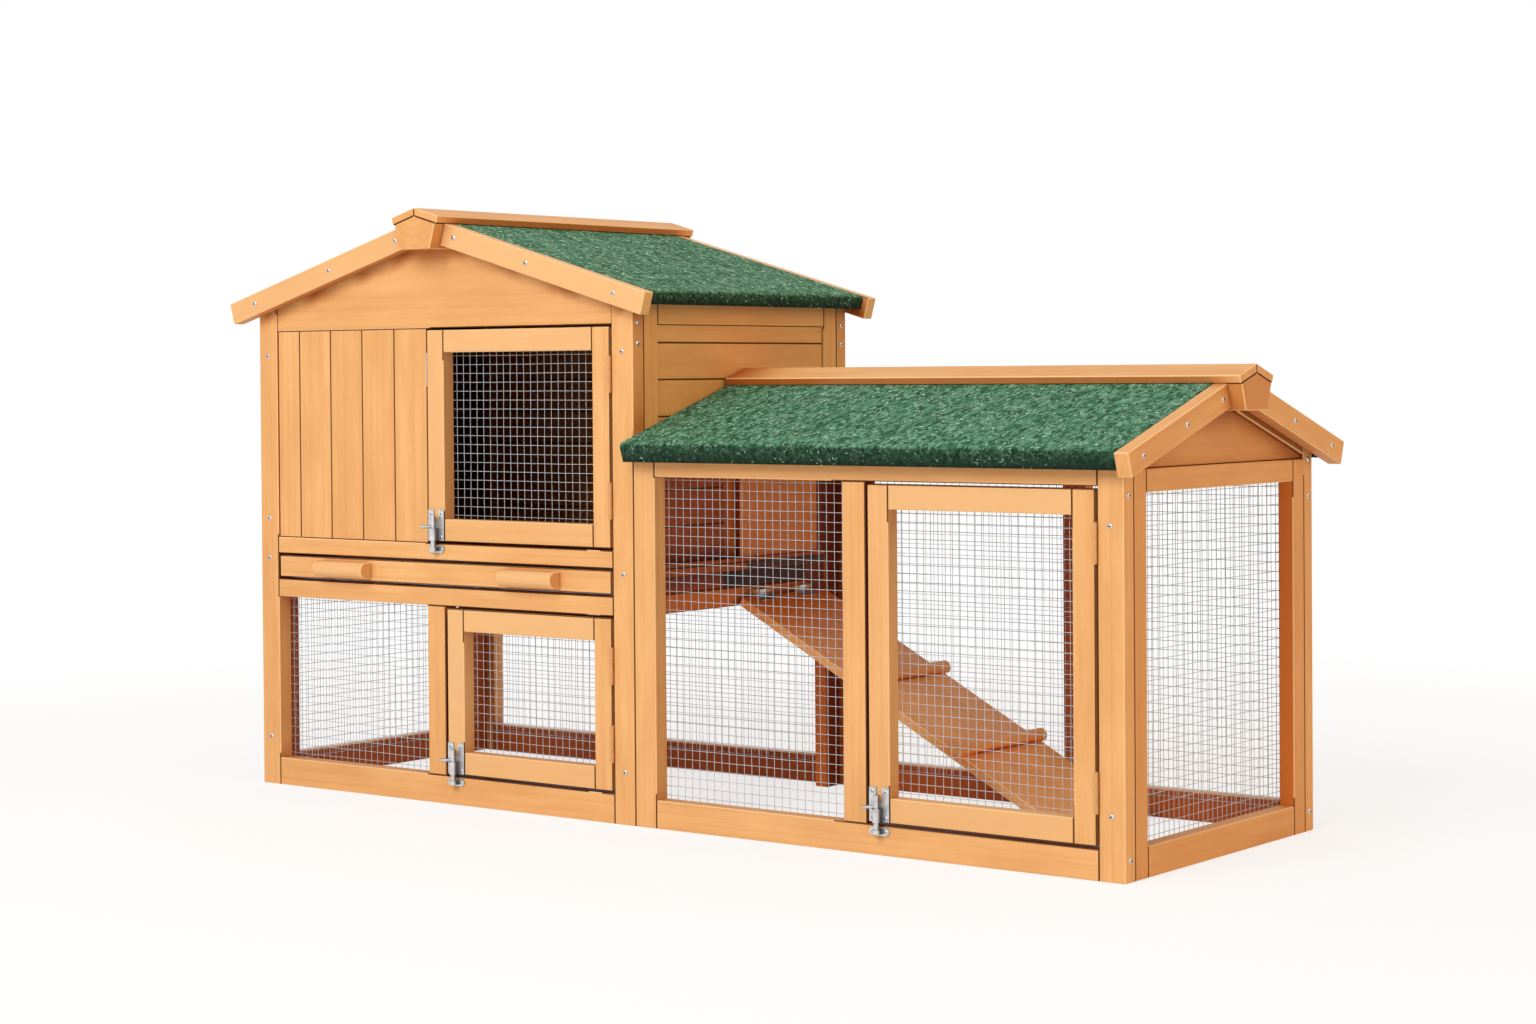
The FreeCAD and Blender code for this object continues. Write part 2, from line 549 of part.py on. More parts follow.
jambs = [batten(f"tower_doorway_{side}_jamb", f"{TOWER_RIGHT} - side_thick", start, DOORWAY_SILL,
                "side_thick", width, f"{DOORWAY_HEAD} - {DOORWAY_SILL}")
         for side, start, width in (("front", f"{DOORWAY_FRONT} - jamb_width", "jamb_width"),
                                    ("back", DOORWAY_BACK, "doorway_back"))]
node("tower_right_frame",
     *[mirrored(piece, "tower_right" + piece.Name[len("tower_left"):], X_AXIS, TOWER_MID)
       for piece in (left_front_stile, left_back_stile, left_top_rail, left_floor_rail)], *jambs)
right_boards = []
for n, (bottom, height) in enumerate(wall_levels(), start=1):
    beside_doorway = 1 < n <= 1 + DOORWAY_BOARDS
    length = f"{DOORWAY_FRONT} - jamb_width - {STILE_FRONT}" if beside_doorway else BETWEEN_STILES
    right_boards.append(batten(f"tower_right_board_{n}", f"{TOWER_RIGHT} - board_recess - board_thick",
                               STILE_FRONT, bottom, "board_thick", length, height))
node("tower_right_boards", *right_boards)
node("tower_floor", batten("tower_floor_board", f"{TOWER_LEFT} + side_thick", FRONT_IN,
                           f"{FLOOR_TOP} - floor_thick", "tower_width - 2 * side_thick", SIDE_DEPTH,
                           "floor_thick"))


# Drawer

node("tray_front", batten("tray_front_board", f"{POST_LEFT} + tray_gap", FRONT, f"{FLOOR_TOP} + tray_gap",
                          f"{BETWEEN_POSTS} - 2 * tray_gap", "tray_front", "tray_slot - 2 * tray_gap"))
pan = doc.addObject("PartDesign::Body", "tray_pan")
PAN_WIDTH = f"({BETWEEN_POSTS} - 2 * tray_side_gap)"
PAN_DEPTH = "(frame_depth - panel_thick - tray_front - tray_back_gap)"
feature(pan, "AdditiveBox", "sheet", Length=PAN_WIDTH, Width=PAN_DEPTH, Height="tray_height")
feature(pan, "SubtractiveBox", "inside", x="tray_wall", y="tray_wall", z="tray_wall",
        Length=f"{PAN_WIDTH} - 2 * tray_wall", Width=f"{PAN_DEPTH} - 2 * tray_wall", Height="tray_height")
bind(pan, x=f"{POST_LEFT} + tray_side_gap", y=f"{FRONT} + tray_front", z=f"{FLOOR_TOP} + tray_lift")
node("tray_pan", pan)


def drawer_handle(name, middle):
    """A wooden bar with a flat back and a round nose."""
    body = doc.addObject("PartDesign::Body", name)
    feature(body, "AdditiveBox", "bar", Length="handle_length", Width="handle_straight",
            Height="2 * handle_half", y="-handle_straight", z="-handle_half")
    feature(body, "AdditiveCylinder", "nose", axis=Y_AXIS, Radius="handle_half", Height="handle_length",
            y="-handle_straight")
    bind(body, x=f"{middle} - handle_length / 2", y=FRONT, z=f"{FLOOR_TOP} + tray_slot / 2")
    return body


node("tray_handles",
     drawer_handle("tray_left_handle", f"{TOWER_MID} - handle_offset"),
     drawer_handle("tray_right_handle", f"{TOWER_MID} + handle_offset"))


# Run front and back panels

RUN_LEFT_IN = f"({TOWER_RIGHT} + run_stile)"
RUN_RIGHT_IN = f"({RUN_RIGHT} - run_stile)"
RUN_MID_STILE = f"({RUN_LEFT_IN} + run_net_width)"
RUN_DOOR_LEFT = f"({RUN_MID_STILE} + run_stile)"
RUN_CLEAR = "(run_width - 2 * run_stile)"


def run_section(bottom):
    """Section of a front batten whose top follows the roof."""
    return [(FRONT, bottom),
            (FRONT_IN, bottom),
            (FRONT_IN, roof_under("run", "panel_thick")),
            (FRONT, roof_under("run", "0"))]


left_stile = profile("run_front_left_stile", "YZ_Plane", run_section("0"), TOWER_RIGHT, "run_stile")
right_stile = profile("run_front_right_stile", "YZ_Plane", run_section("0"), RUN_RIGHT_IN, "run_stile")
mid_stile = batten("run_front_mid_stile", RUN_MID_STILE, FRONT, "run_bottom_rail",
                   "run_stile", "panel_thick", f"{RUN_RAIL_Z} - run_bottom_rail")
top_rail = profile("run_front_top_rail", "YZ_Plane", run_section(RUN_RAIL_Z), RUN_LEFT_IN, RUN_CLEAR)
low_rail = batten("run_front_bottom_rail", RUN_LEFT_IN, FRONT, "0",
                  RUN_CLEAR, "panel_thick", "run_bottom_rail")
node("run_front_frame", left_stile, mid_stile, right_stile, top_rail, low_rail)
back_stile = batten("run_back_mid_stile", f"{RUN_LEFT_IN} + run_back_bay", BACK_IN, "run_bottom_rail",
                    "run_stile", "panel_thick", f"{RUN_RAIL_Z} - run_bottom_rail")
node("run_back_frame", back_stile, *[mirrored(piece, "run_back" + piece.Name[len("run_front"):], Y_AXIS)
                                     for piece in (left_stile, right_stile, top_rail, low_rail)])
NET_UP = f"{RUN_RAIL_Z} - run_bottom_rail + 2 * net_lap"
net("run_front_net", f"{RUN_LEFT_IN} - net_lap", FRONT_IN, "run_bottom_rail - net_lap",
    "run_net_width + 2 * net_lap", NET_UP, Y_AXIS)
net("run_back_net", f"{RUN_LEFT_IN} - net_lap", f"{BACK_IN} - net_thick", "run_bottom_rail - net_lap",
    f"{RUN_CLEAR} + 2 * net_lap", NET_UP, Y_AXIS)


# Run end panel and its gable

END_IN = f"({RUN_RIGHT} - side_thick)"
END_TOP = f"({END_RAIL_Z} + end_rail)"
node("run_end_frame",
     batten("run_end_front_stile", END_IN, FRONT_IN, "0", "side_thick", "side_stile", END_TOP),
     batten("run_end_back_stile", END_IN, STILE_BACK, "0", "side_thick", "side_stile", END_TOP),
     batten("run_end_bottom_rail", END_IN, STILE_FRONT, "0",
            "side_thick", BETWEEN_STILES, "run_bottom_rail"),
     batten("run_end_top_rail", END_IN, STILE_FRONT, END_RAIL_Z,
            "side_thick", BETWEEN_STILES, "end_rail"))
net("run_end_net", f"{END_IN} - net_thick", f"{STILE_FRONT} - net_lap", "run_bottom_rail - net_lap",
    f"{BETWEEN_STILES} + 2 * net_lap", f"{END_RAIL_Z} - run_bottom_rail + 2 * net_lap", X_AXIS)
RAFTER_FOOT = f"{ROOF_THICK} + rafter_height"
front_rafter = profile("run_front_rafter", "YZ_Plane", [
    (FRONT_IN, roof_under("run", "panel_thick", RAFTER_FOOT)),
    ("-ridge_half", roof_under("run", f"({RUN_HALF} - ridge_half)", RAFTER_FOOT)),
    ("-ridge_half", roof_under("run", f"({RUN_HALF} - ridge_half)")),
    (FRONT_IN, roof_under("run", "panel_thick")),
], END_IN, "side_thick")
node("run_rafters", front_rafter, mirrored(front_rafter, "run_back_rafter", Y_AXIS))
end_gable = profile("run_end_gable_blank", "YZ_Plane", [
    (FRONT_IN, END_TOP),
    (BACK_IN, END_TOP),
    (BACK_IN, roof_under("run", "panel_thick", RAFTER_FOOT)),
    ("0", roof_under("run", RUN_HALF, RAFTER_FOOT)),
    (FRONT_IN, roof_under("run", "panel_thick", RAFTER_FOOT)),
], f"{END_IN} + (side_thick - end_board_thick) / 2", "end_board_thick")
node("run_end_gable", notched("run_end_gable_cut", end_gable, run_beam))


# Doors with their hinges and bolts

fixed_leaves = []
keepers = []
HINGE_AXIS = f"({FRONT} - knuckle_stand - knuckle_radius)"
BORE = "pin_radius + pin_play"


def knuckle(leaf, name, radius, height, **place):
    """One rolled knuckle of a hinge leaf."""
    roll = feature(leaf, "AdditivePrism", name, Circumradius=radius, Height=height, **place)
    roll.Polygon = KNUCKLE_SIDES


def butt_hinge(name, edge, bottom):
    """A butt hinge in the gap at a door's right edge: a fixed leaf that holds the pin, and a door leaf."""
    middle = "(hinge_length / 3)"
    axis = {"x": f"({edge} + door_gap / 2)", "y": HINGE_AXIS}
    leaves = {}
    for kind, plate_x, spans in (
            ("door", edge, [(middle, middle)]),
            ("post", f"{edge} + door_gap - leaf_thick",
             [("0", f"{middle} - knuckle_play"),
              (f"2 * {middle} + knuckle_play", f"{middle} - knuckle_play")])):
        leaf = doc.addObject("PartDesign::Body", f"{name}_{kind}_leaf")
        feature(leaf, "AdditiveBox", "plate", x=plate_x, y=FRONT, z=bottom,
                Length="leaf_thick", Width="leaf_depth", Height="hinge_length")
        for n, (start, height) in enumerate(spans):
            base = f"{bottom} + {start}"
            feature(leaf, "AdditiveBox", f"web_{n}", x=plate_x, y=HINGE_AXIS, z=base, Length="leaf_thick",
                    Width="knuckle_radius + knuckle_stand + leaf_thick", Height=height)
            knuckle(leaf, f"knuckle_{n}", "knuckle_radius", height, z=base, **axis)
        leaves[kind] = leaf
    feature(leaves["door"], "SubtractiveCylinder", "bore", z=bottom, Radius=BORE, Height="hinge_length",
            **axis)
    feature(leaves["post"], "AdditiveCylinder", "pin", z=bottom, Radius="pin_radius", Height="hinge_length",
            **axis)
    fixed_leaves.append(leaves["post"])
    return leaves["door"]


BARREL = "(bolt_radius + bolt_play + barrel_wall)"
BOLT_AXIS = f"({FRONT} - bolt_plate_thick - {BARREL})"


def guide(body, name, x, z, height):
    """A round-fronted loop on a plate, through which the bolt slides."""
    feature(body, "AdditiveBox", name + "_legs", x=f"{x} - {BARREL}", y=BOLT_AXIS, z=z,
            Length=f"2 * {BARREL}", Width=BARREL, Height=height)
    feature(body, "AdditiveCylinder", name + "_loop", x=x, y=BOLT_AXIS, z=z, Radius=BARREL, Height=height)
    feature(body, "SubtractiveCylinder", name + "_bore", x=x, y=BOLT_AXIS, z=z,
            Radius="bolt_radius + bolt_play", Height=height)


def barrel_bolt(name, left, bottom):
    """A bolt at a door's lower left corner: its case, the sliding bolt and the keeper below."""
    plate_x = f"({left} + bolt_edge)"
    plate_z = f"({bottom} + bolt_edge)"
    middle = f"({plate_x} + bolt_plate_width / 2)"
    case = doc.addObject("PartDesign::Body", name + "_case")
    feature(case, "AdditiveBox", "plate", x=plate_x, y=f"{FRONT} - bolt_plate_thick", z=plate_z,
            Length="bolt_plate_width", Width="bolt_plate_thick", Height="bolt_plate_height")
    feature(case, "SubtractiveBox", "slot", x=f"{middle} - plate_slot_width / 2",
            y=f"{FRONT} - bolt_plate_thick", z=f"{plate_z} + bolt_plate_height - plate_slot_height",
            Length="plate_slot_width", Width="bolt_plate_thick", Height="plate_slot_height")
    guide(case, "barrel", middle, plate_z, "barrel_height")

    rod = doc.addObject("PartDesign::Body", name)
    tip = f"({bottom} - bolt_reach)"
    feature(rod, "AdditiveCylinder", "rod", x=middle, y=BOLT_AXIS, z=f"{tip} + bolt_tip",
            Radius="bolt_radius",
            Height="bolt_reach - bolt_tip + bolt_edge + bolt_plate_height - bolt_short")
    feature(rod, "AdditiveCone", "tip", x=middle, y=BOLT_AXIS, z=tip, Radius1="bolt_radius / 2",
            Radius2="bolt_radius", Height="bolt_tip")
    feature(rod, "AdditiveCylinder", "knob", axis=FreeCAD.Vector(1, -1, 0), x=middle, y=BOLT_AXIS,
            z=f"{plate_z} + barrel_height + knob_radius + bolt_play",
            Radius="knob_radius", Height="knob_length")

    keeper = doc.addObject("PartDesign::Body", name + "_keeper")
    top = f"({bottom} - door_gap - keeper_drop)"
    feature(keeper, "AdditiveBox", "plate", x=f"{plate_x} + keeper_height / 2",
            y=f"{FRONT} - bolt_plate_thick", z=f"{top} - keeper_height",
            Length="bolt_plate_width - keeper_height", Width="bolt_plate_thick", Height="keeper_height")
    for side, inset in (("left", "keeper_height / 2"), ("right", "bolt_plate_width - keeper_height / 2")):
        feature(keeper, "AdditiveCylinder", side + "_end", axis=X_AXIS, turn=90, x=f"{plate_x} + {inset}",
                y=FRONT, z=f"{top} - keeper_height / 2", Radius="keeper_height / 2",
                Height="bolt_plate_thick")
    guide(keeper, "strap", middle, f"{top} - (keeper_height + strap_height) / 2", "strap_height")
    node(name + "_case", case)
    node(name, rod)
    keepers.append(keeper)


def door(name, left, right, bottom, top):
    """A framed net door that fills an opening, hinged on its right edge."""
    x0, x1 = f"({left} + door_gap)", f"({right} - door_gap)"
    z0, z1 = f"({bottom} + door_gap)", f"({top} - door_gap)"
    inner = f"{x1} - {x0} - 2 * door_batten"
    node(name + "_frame",
         batten(name + "_left_stile", x0, FRONT, z0, "door_batten", "door_thick", f"{z1} - {z0}"),
         batten(name + "_right_stile", f"{x1} - door_batten", FRONT, z0,
                "door_batten", "door_thick", f"{z1} - {z0}"),
         batten(name + "_bottom_rail", f"{x0} + door_batten", FRONT, z0,
                inner, "door_thick", "door_batten"),
         batten(name + "_top_rail", f"{x0} + door_batten", FRONT, f"{z1} - door_batten",
                inner, "door_thick", "door_batten"))
    net(name + "_net", f"{x0} + door_batten - net_lap", f"{FRONT} + door_thick",
        f"{z0} + door_batten - net_lap",
        f"{inner} + 2 * net_lap", f"{z1} - {z0} - 2 * door_batten + 2 * net_lap", Y_AXIS)
    node(name + "_hinges",
         butt_hinge(name + "_low_hinge", x1, f"({z0} + hinge_inset)"),
         butt_hinge(name + "_high_hinge", x1, f"({z1} - hinge_inset - hinge_length)"))
    barrel_bolt(name.replace("door", "bolt"), x0, z0)


door("upper_door", UPPER_DOOR_LEFT, POST_RIGHT, ROOM_SILL, GABLE_Z)
door("lower_door", LOWER_DOOR_LEFT, POST_RIGHT, "bottom_rail", "floor_rail_z")
door("run_door", RUN_DOOR_LEFT, RUN_RIGHT_IN, "run_bottom_rail", RUN_RAIL_Z)
node("bolt_keepers", *keepers)


# Hatch in its runners, on the run side of the tower's right wall

HATCH_BOTTOM = f"({DOORWAY_SILL} - hatch_lap)"
HATCH_TOP = f"({DOORWAY_HEAD} + hatch_lap)"
node("hatch", batten("hatch_board", f"{TOWER_RIGHT} + hatch_play", f"{DOORWAY_FRONT} - hatch_lap",
                     HATCH_BOTTOM, "hatch_thick", "doorway_width + 2 * hatch_lap",
                     f"{HATCH_TOP} - {HATCH_BOTTOM}"))
RUNNER_START = f"({FRONT_IN} + runner_front)"
RUNNER_LENGTH = f"({SIDE_DEPTH} - runner_front - runner_back)"
RUNNER_DEPTH = "(hatch_thick + 2 * hatch_play + runner_lip)"
LIP_X = f"({TOWER_RIGHT} + hatch_thick + 2 * hatch_play)"
node("hatch_runners",
     batten("hatch_low_base", TOWER_RIGHT, RUNNER_START, f"{HATCH_BOTTOM} - hatch_play - runner_height",
            RUNNER_DEPTH, RUNNER_LENGTH, "runner_height"),
     batten("hatch_low_lip", LIP_X, RUNNER_START, f"{HATCH_BOTTOM} - hatch_play",
            "runner_lip", RUNNER_LENGTH, "runner_cover"),
     batten("hatch_high_base", TOWER_RIGHT, RUNNER_START, f"{HATCH_TOP} + hatch_play",
            RUNNER_DEPTH, RUNNER_LENGTH, "runner_height"),
     batten("hatch_high_lip", LIP_X, RUNNER_START, f"{HATCH_TOP} + hatch_play - runner_cover",
            "runner_lip", RUNNER_LENGTH, "runner_cover"))


# Ramp: every piece is drawn level from the hinge's axis, then tilted about it

RAMP_X = f"({TOWER_RIGHT} + ramp_knuckle + ramp_knuckle_stand)"
RAMP_MID = f"({DOORWAY_FRONT} + ramp_width / 2)"
RAMP_SIN, RAMP_COS = (slope(trig, "ramp_angle") for trig in ("sin", "cos"))
RAMP_LENGTH = f"((ramp_hinge_z - ramp_foot_gap - (ramp_knuckle + ramp_thick) * {RAMP_COS}) / {RAMP_SIN})"


def on_ramp(body):
    """Tilt a piece about the ramp's hinge."""
    body.Placement.Rotation = FreeCAD.Rotation(Y_AXIS, 1)
    bind(body, turn="ramp_angle * 1 deg", x=RAMP_X, y=RAMP_MID, z="ramp_hinge_z")
    return body


board = doc.addObject("PartDesign::Body", "ramp_board")
ease(board, feature(board, "AdditiveBox", "stock", x="ramp_setback", y="-ramp_width / 2",
                    z="-ramp_knuckle - ramp_thick", Length=f"{RAMP_LENGTH} - ramp_setback",
                    Width="ramp_width", Height="ramp_thick"))
node("ramp_board", on_ramp(board))


CLEAT_SPAN = f"({RAMP_LENGTH} - cleat_first - cleat_last)"


def cleat(n):
    """A round bar across the ramp, flat where it is nailed on."""
    body = doc.addObject("PartDesign::Body", f"ramp_cleat_{n + 1}")
    place = f"cleat_first + {n} * {CLEAT_SPAN} / {CLEATS - 1}"
    edge = "-ramp_width / 2 - cleat_over"
    length = "ramp_width + 2 * cleat_over"
    feature(body, "AdditiveCylinder", "bar", axis=X_AXIS, turn=-90, x=place, y=edge,
            z="-ramp_knuckle + cleat_radius / 3", Radius="cleat_radius", Height=length)
    feature(body, "SubtractiveBox", "flat", x=f"{place} - cleat_radius", y=edge,
            z="-ramp_knuckle - cleat_radius", Length="2 * cleat_radius", Width=length,
            Height="cleat_radius")
    return on_ramp(body)


node("ramp_cleats", *[cleat(n) for n in range(CLEATS)])
ramp_leaves = []
for side, middle in (("front", "(-ramp_hinge_apart / 2)"), ("back", "(ramp_hinge_apart / 2)")):
    third = "(ramp_hinge_width / 3)"
    low = f"({middle} - ramp_hinge_width / 2)"
    moving = doc.addObject("PartDesign::Body", f"ramp_{side}_leaf")
    feature(moving, "AdditiveBox", "plate", x="ramp_knuckle + pin_play", y=low, z="-ramp_knuckle",
            Length="ramp_leaf", Width="ramp_hinge_width", Height="leaf_thick")
    feature(moving, "AdditiveBox", "web", x="0", y=f"{low} + {third}", z="-ramp_knuckle",
            Length="2 * ramp_knuckle", Width=third, Height="leaf_thick")
    knuckle(moving, "knuckle", "ramp_knuckle", third, axis=X_AXIS, turn=-90, y=f"{low} + {third}")
    feature(moving, "SubtractiveCylinder", "bore", axis=X_AXIS, turn=-90, y=low, Radius=BORE,
            Height="ramp_hinge_width")
    ramp_leaves.append(on_ramp(moving))

    fixed = doc.addObject("PartDesign::Body", f"ramp_{side}_wall_leaf")
    start = f"{RAMP_MID} + {low}"
    feature(fixed, "AdditiveBox", "plate", x=TOWER_RIGHT, y=start, z="ramp_hinge_z - ramp_leaf",
            Length="ramp_knuckle_stand", Width="ramp_hinge_width", Height="ramp_leaf - ramp_knuckle")
    for n, offset in enumerate(("0", f"2 * {third} + knuckle_play")):
        feature(fixed, "AdditiveBox", f"web_{n}", x=TOWER_RIGHT, y=f"{start} + {offset}",
                z="ramp_hinge_z - ramp_knuckle - leaf_thick", Length="ramp_knuckle_stand + leaf_thick",
                Width=f"{third} - knuckle_play", Height="ramp_knuckle + leaf_thick")
        knuckle(fixed, f"knuckle_{n}", "ramp_knuckle", f"{third} - knuckle_play", axis=X_AXIS, turn=-90,
                x=RAMP_X, y=f"{start} + {offset}", z="ramp_hinge_z")
    feature(fixed, "AdditiveCylinder", "pin", axis=X_AXIS, turn=-90, x=RAMP_X, y=start, z="ramp_hinge_z",
            Radius="pin_radius", Height="ramp_hinge_width")
    fixed_leaves.append(fixed)
node("ramp_hinges", *ramp_leaves)
node("hinge_fixed_leaves", *fixed_leaves)


# Wire nets: one holed face each, as large as its bound blank

doc.recompute()


def rectangle(x, y, width, height):
    corners = [FreeCAD.Vector(*corner) for corner in
               ((x, y, 0), (x + width, y, 0), (x + width, y + height, 0), (x, y + height, 0))]
    return Part.makePolygon(corners + corners[:1])


for label, blank, flat in nets:
    across = (blank.Length if flat else blank.Width).Value
    up = blank.Height.Value
    thick = sheet.net_thick
    wire = sheet.net_wire
    columns = max(1, round((across - wire) / sheet.net_pitch))
    rows = max(1, round((up - wire) / sheet.net_pitch))
    step_across = (across - wire) / columns
    step_up = (up - wire) / rows
    face = Part.Face([Part.Wire(rectangle(0, 0, across, up))] + [
        Part.Wire(rectangle(wire + column * step_across, wire + row * step_up,
                            step_across - wire, step_up - wire))
        for column in range(columns) for row in range(rows)])
    face.validate()
    mesh = doc.addObject("Part::Feature", label)
    mesh.Shape = face.extrude(FreeCAD.Vector(0, 0, thick))
    upright = FreeCAD.Rotation(X_AXIS, 90)
    if flat:
        place = blank.Placement.Base + FreeCAD.Vector(0, thick, 0)
    else:
        upright = FreeCAD.Rotation(FreeCAD.Vector(0, 0, 1), 90).multiply(upright)
        place = blank.Placement.Base
    mesh.Placement = FreeCAD.Placement(place, upright)
    nodes.append(mesh)
doc.recompute()


# Checks, then one file for each node

for thing in doc.Objects:
    if "Invalid" in thing.State or "Error" in thing.State:
        raise RuntimeError(f"{thing.Name} failed: {thing.State}")
for part in nodes:
    if part.Shape.isNull() or not part.Shape.isValid() or not part.Shape.Solids:
        raise RuntimeError(f"{part.Label} has no valid solid")
os.makedirs("parts", exist_ok=True)
for part in nodes:
    part.Shape.exportStep(f"parts/{part.Label}.step")
    print(part.Label, len(part.Shape.Solids), round(part.Shape.Volume))
print(len(nodes), "nodes")
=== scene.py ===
# %% [markdown]
# # A two-tier wooden pet hutch
# A gabled tower with a drawer stands beside a lower run, and both are boarded in honey-stained softwood,
# closed with welded wire net and roofed in green mineral felt. The solids come from the frame, so this lesson
# never moves them. It dresses them: each board gets its own grain, each net its real wires, the felt its
# granules and the metal its zinc.

# %% Load the frame
import bmesh
import bpy
import json
import math
import random
from mathutils import Matrix, Vector
from mathutils.bvhtree import BVHTree

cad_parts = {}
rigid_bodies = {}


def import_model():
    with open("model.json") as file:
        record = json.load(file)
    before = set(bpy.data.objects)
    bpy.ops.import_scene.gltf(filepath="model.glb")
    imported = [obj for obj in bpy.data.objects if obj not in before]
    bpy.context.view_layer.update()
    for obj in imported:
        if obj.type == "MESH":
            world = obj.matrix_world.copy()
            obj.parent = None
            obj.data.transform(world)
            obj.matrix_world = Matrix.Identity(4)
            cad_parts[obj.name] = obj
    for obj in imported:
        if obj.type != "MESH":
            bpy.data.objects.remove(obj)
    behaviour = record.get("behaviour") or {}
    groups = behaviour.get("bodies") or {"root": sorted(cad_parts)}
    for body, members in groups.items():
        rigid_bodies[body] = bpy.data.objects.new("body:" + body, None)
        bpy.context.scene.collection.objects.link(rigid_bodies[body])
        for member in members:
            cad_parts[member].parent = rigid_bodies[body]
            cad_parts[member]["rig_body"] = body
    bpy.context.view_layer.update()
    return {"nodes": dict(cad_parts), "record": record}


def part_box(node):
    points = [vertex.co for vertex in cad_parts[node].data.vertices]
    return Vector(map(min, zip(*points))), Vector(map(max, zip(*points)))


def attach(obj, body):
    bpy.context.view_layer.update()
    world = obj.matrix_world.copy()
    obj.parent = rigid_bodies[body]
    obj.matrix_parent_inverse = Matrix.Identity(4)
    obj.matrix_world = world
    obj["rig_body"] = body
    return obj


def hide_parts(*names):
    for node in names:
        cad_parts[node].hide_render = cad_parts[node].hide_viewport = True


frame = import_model()
nodes = frame["nodes"]


# %% [markdown]
# ## Camera
# The photograph looks at the hutch from the front right, almost level, through a long lens. A camera is a
# place, three turns and a lens. Its lens shift moves the picture without turning the camera, so upright posts
# stay upright. The numbers below are in metres, degrees and pixels of a picture 1536 wide.

# %% Camera
PICTURE_WIDTH = 1536
PICTURE_HEIGHT = 1024
SENSOR_WIDTH = 36.0
CAMERA_PLACE = Vector((2.2301, -2.8992, 0.5581))
CAMERA_TURN = math.radians(37.56)
CAMERA_TILT = math.radians(-0.9)
CAMERA_ROLL = math.radians(-0.43)
FOCAL_PIXELS = 2834.8
CENTRE_PIXEL = (754.6, 417.6)

camera_data = bpy.data.cameras.new("camera")
camera_data.sensor_width = SENSOR_WIDTH
camera_data.lens = SENSOR_WIDTH * FOCAL_PIXELS / PICTURE_WIDTH
camera_data.shift_x = (PICTURE_WIDTH / 2 - CENTRE_PIXEL[0]) / PICTURE_WIDTH
camera_data.shift_y = (CENTRE_PIXEL[1] - PICTURE_HEIGHT / 2) / PICTURE_WIDTH
camera = bpy.data.objects.new("camera", camera_data)
level = Matrix.Rotation(CAMERA_TURN, 4, "Z") @ Matrix.Rotation(math.pi / 2 + CAMERA_TILT, 4, "X")
camera.matrix_world = Matrix.Translation(CAMERA_PLACE) @ level @ Matrix.Rotation(CAMERA_ROLL, 4, "Z")
bpy.context.scene.collection.objects.link(camera)
bpy.context.scene.camera = camera
print("lens", round(camera_data.lens, 1), "mm, shift", round(camera_data.shift_x, 4),
      round(camera_data.shift_y, 4))


# %% [markdown]
# ## Helpers for finishes
# A finish is a tree of shader nodes. These helpers add a node with its settings and links, and mix two
# colours, so the cells that follow read as recipes. Patterns are laid out on each object's own coordinates,
# so they move with the piece.

# %% Helpers for finishes
def new_finish(name, roughness, metallic=0.0):
    """A material with a Principled shader, returned with its tree and shader."""
    finish = bpy.data.materials.new(name)
    finish.use_nodes = True
    shader = finish.node_tree.nodes["Principled BSDF"]
    shader.inputs["Roughness"].default_value = roughness
    shader.inputs["Metallic"].default_value = metallic
    return finish, finish.node_tree, shader


def socket(sockets, identifier):
    return next(s for s in sockets if s.identifier == identifier)


def plug(tree, value, target):
    """Link an output to an input, or set the input where a plain value is given."""
    if isinstance(value, bpy.types.NodeSocket):
        tree.links.new(value, target)
    else:
        target.default_value = value


def put(tree, kind, inputs=None, **settings):
    """Add a node with its settings; each input takes a value or another node's output."""
    node = tree.nodes.new(kind)
    for name, value in settings.items():
        setattr(node, name, value)
    for name, value in (inputs or {}).items():
        plug(tree, value, node.inputs[name])
    return node


def own_place(tree):
    return put(tree, "ShaderNodeTexCoord").outputs["Object"]


def xyz(tree, direction):
    """The X, Y and Z of a vector."""
    return put(tree, "ShaderNodeSeparateXYZ", {"Vector": direction}).outputs


def mix(tree, share, first, second):
    """Mix two colours; each of the three may be a value or another node's output."""
    node = put(tree, "ShaderNodeMix", data_type="RGBA")
    plug(tree, share, socket(node.inputs, "Factor_Float"))
    plug(tree, first, socket(node.inputs, "A_Color"))
    plug(tree, second, socket(node.inputs, "B_Color"))
    return socket(node.outputs, "Result_Color")


def between(tree, value, low, high, to_low=0.0, to_high=1.0):
    """Map a value from one range to another, clamped."""
    node = put(tree, "ShaderNodeMapRange", {
        "Value": value, "From Min": low, "From Max": high, "To Min": to_low, "To Max": to_high})
    return node.outputs["Result"]


def scaled(tree, coordinates, scale):
    return put(tree, "ShaderNodeMapping", {"Vector": coordinates, "Scale": scale}).outputs["Vector"]


def noise(tree, coordinates, scale, detail=4.0, roughness=0.55):
    return put(tree, "ShaderNodeTexNoise", {
        "Vector": coordinates, "Scale": scale, "Detail": detail, "Roughness": roughness}).outputs["Fac"]


def maths(tree, how, first, second=0.0):
    return put(tree, "ShaderNodeMath", {0: first, 1: second}, operation=how).outputs["Value"]


def looked_at(tree):
    """1 where a ray comes from the camera, straight or by way of metal or glass, and 0 for other light."""
    path = put(tree, "ShaderNodeLightPath").outputs
    mirrored = maths(tree, "MAXIMUM", path["Is Glossy Ray"], path["Is Transmission Ray"])
    return maths(tree, "MAXIMUM", path["Is Camera Ray"], mirrored)


def bump(tree, height, shader, strength, distance):
    node = put(tree, "ShaderNodeBump", {"Height": height, "Strength": strength, "Distance": distance})
    plug(tree, node.outputs["Normal"], shader.inputs["Normal"])


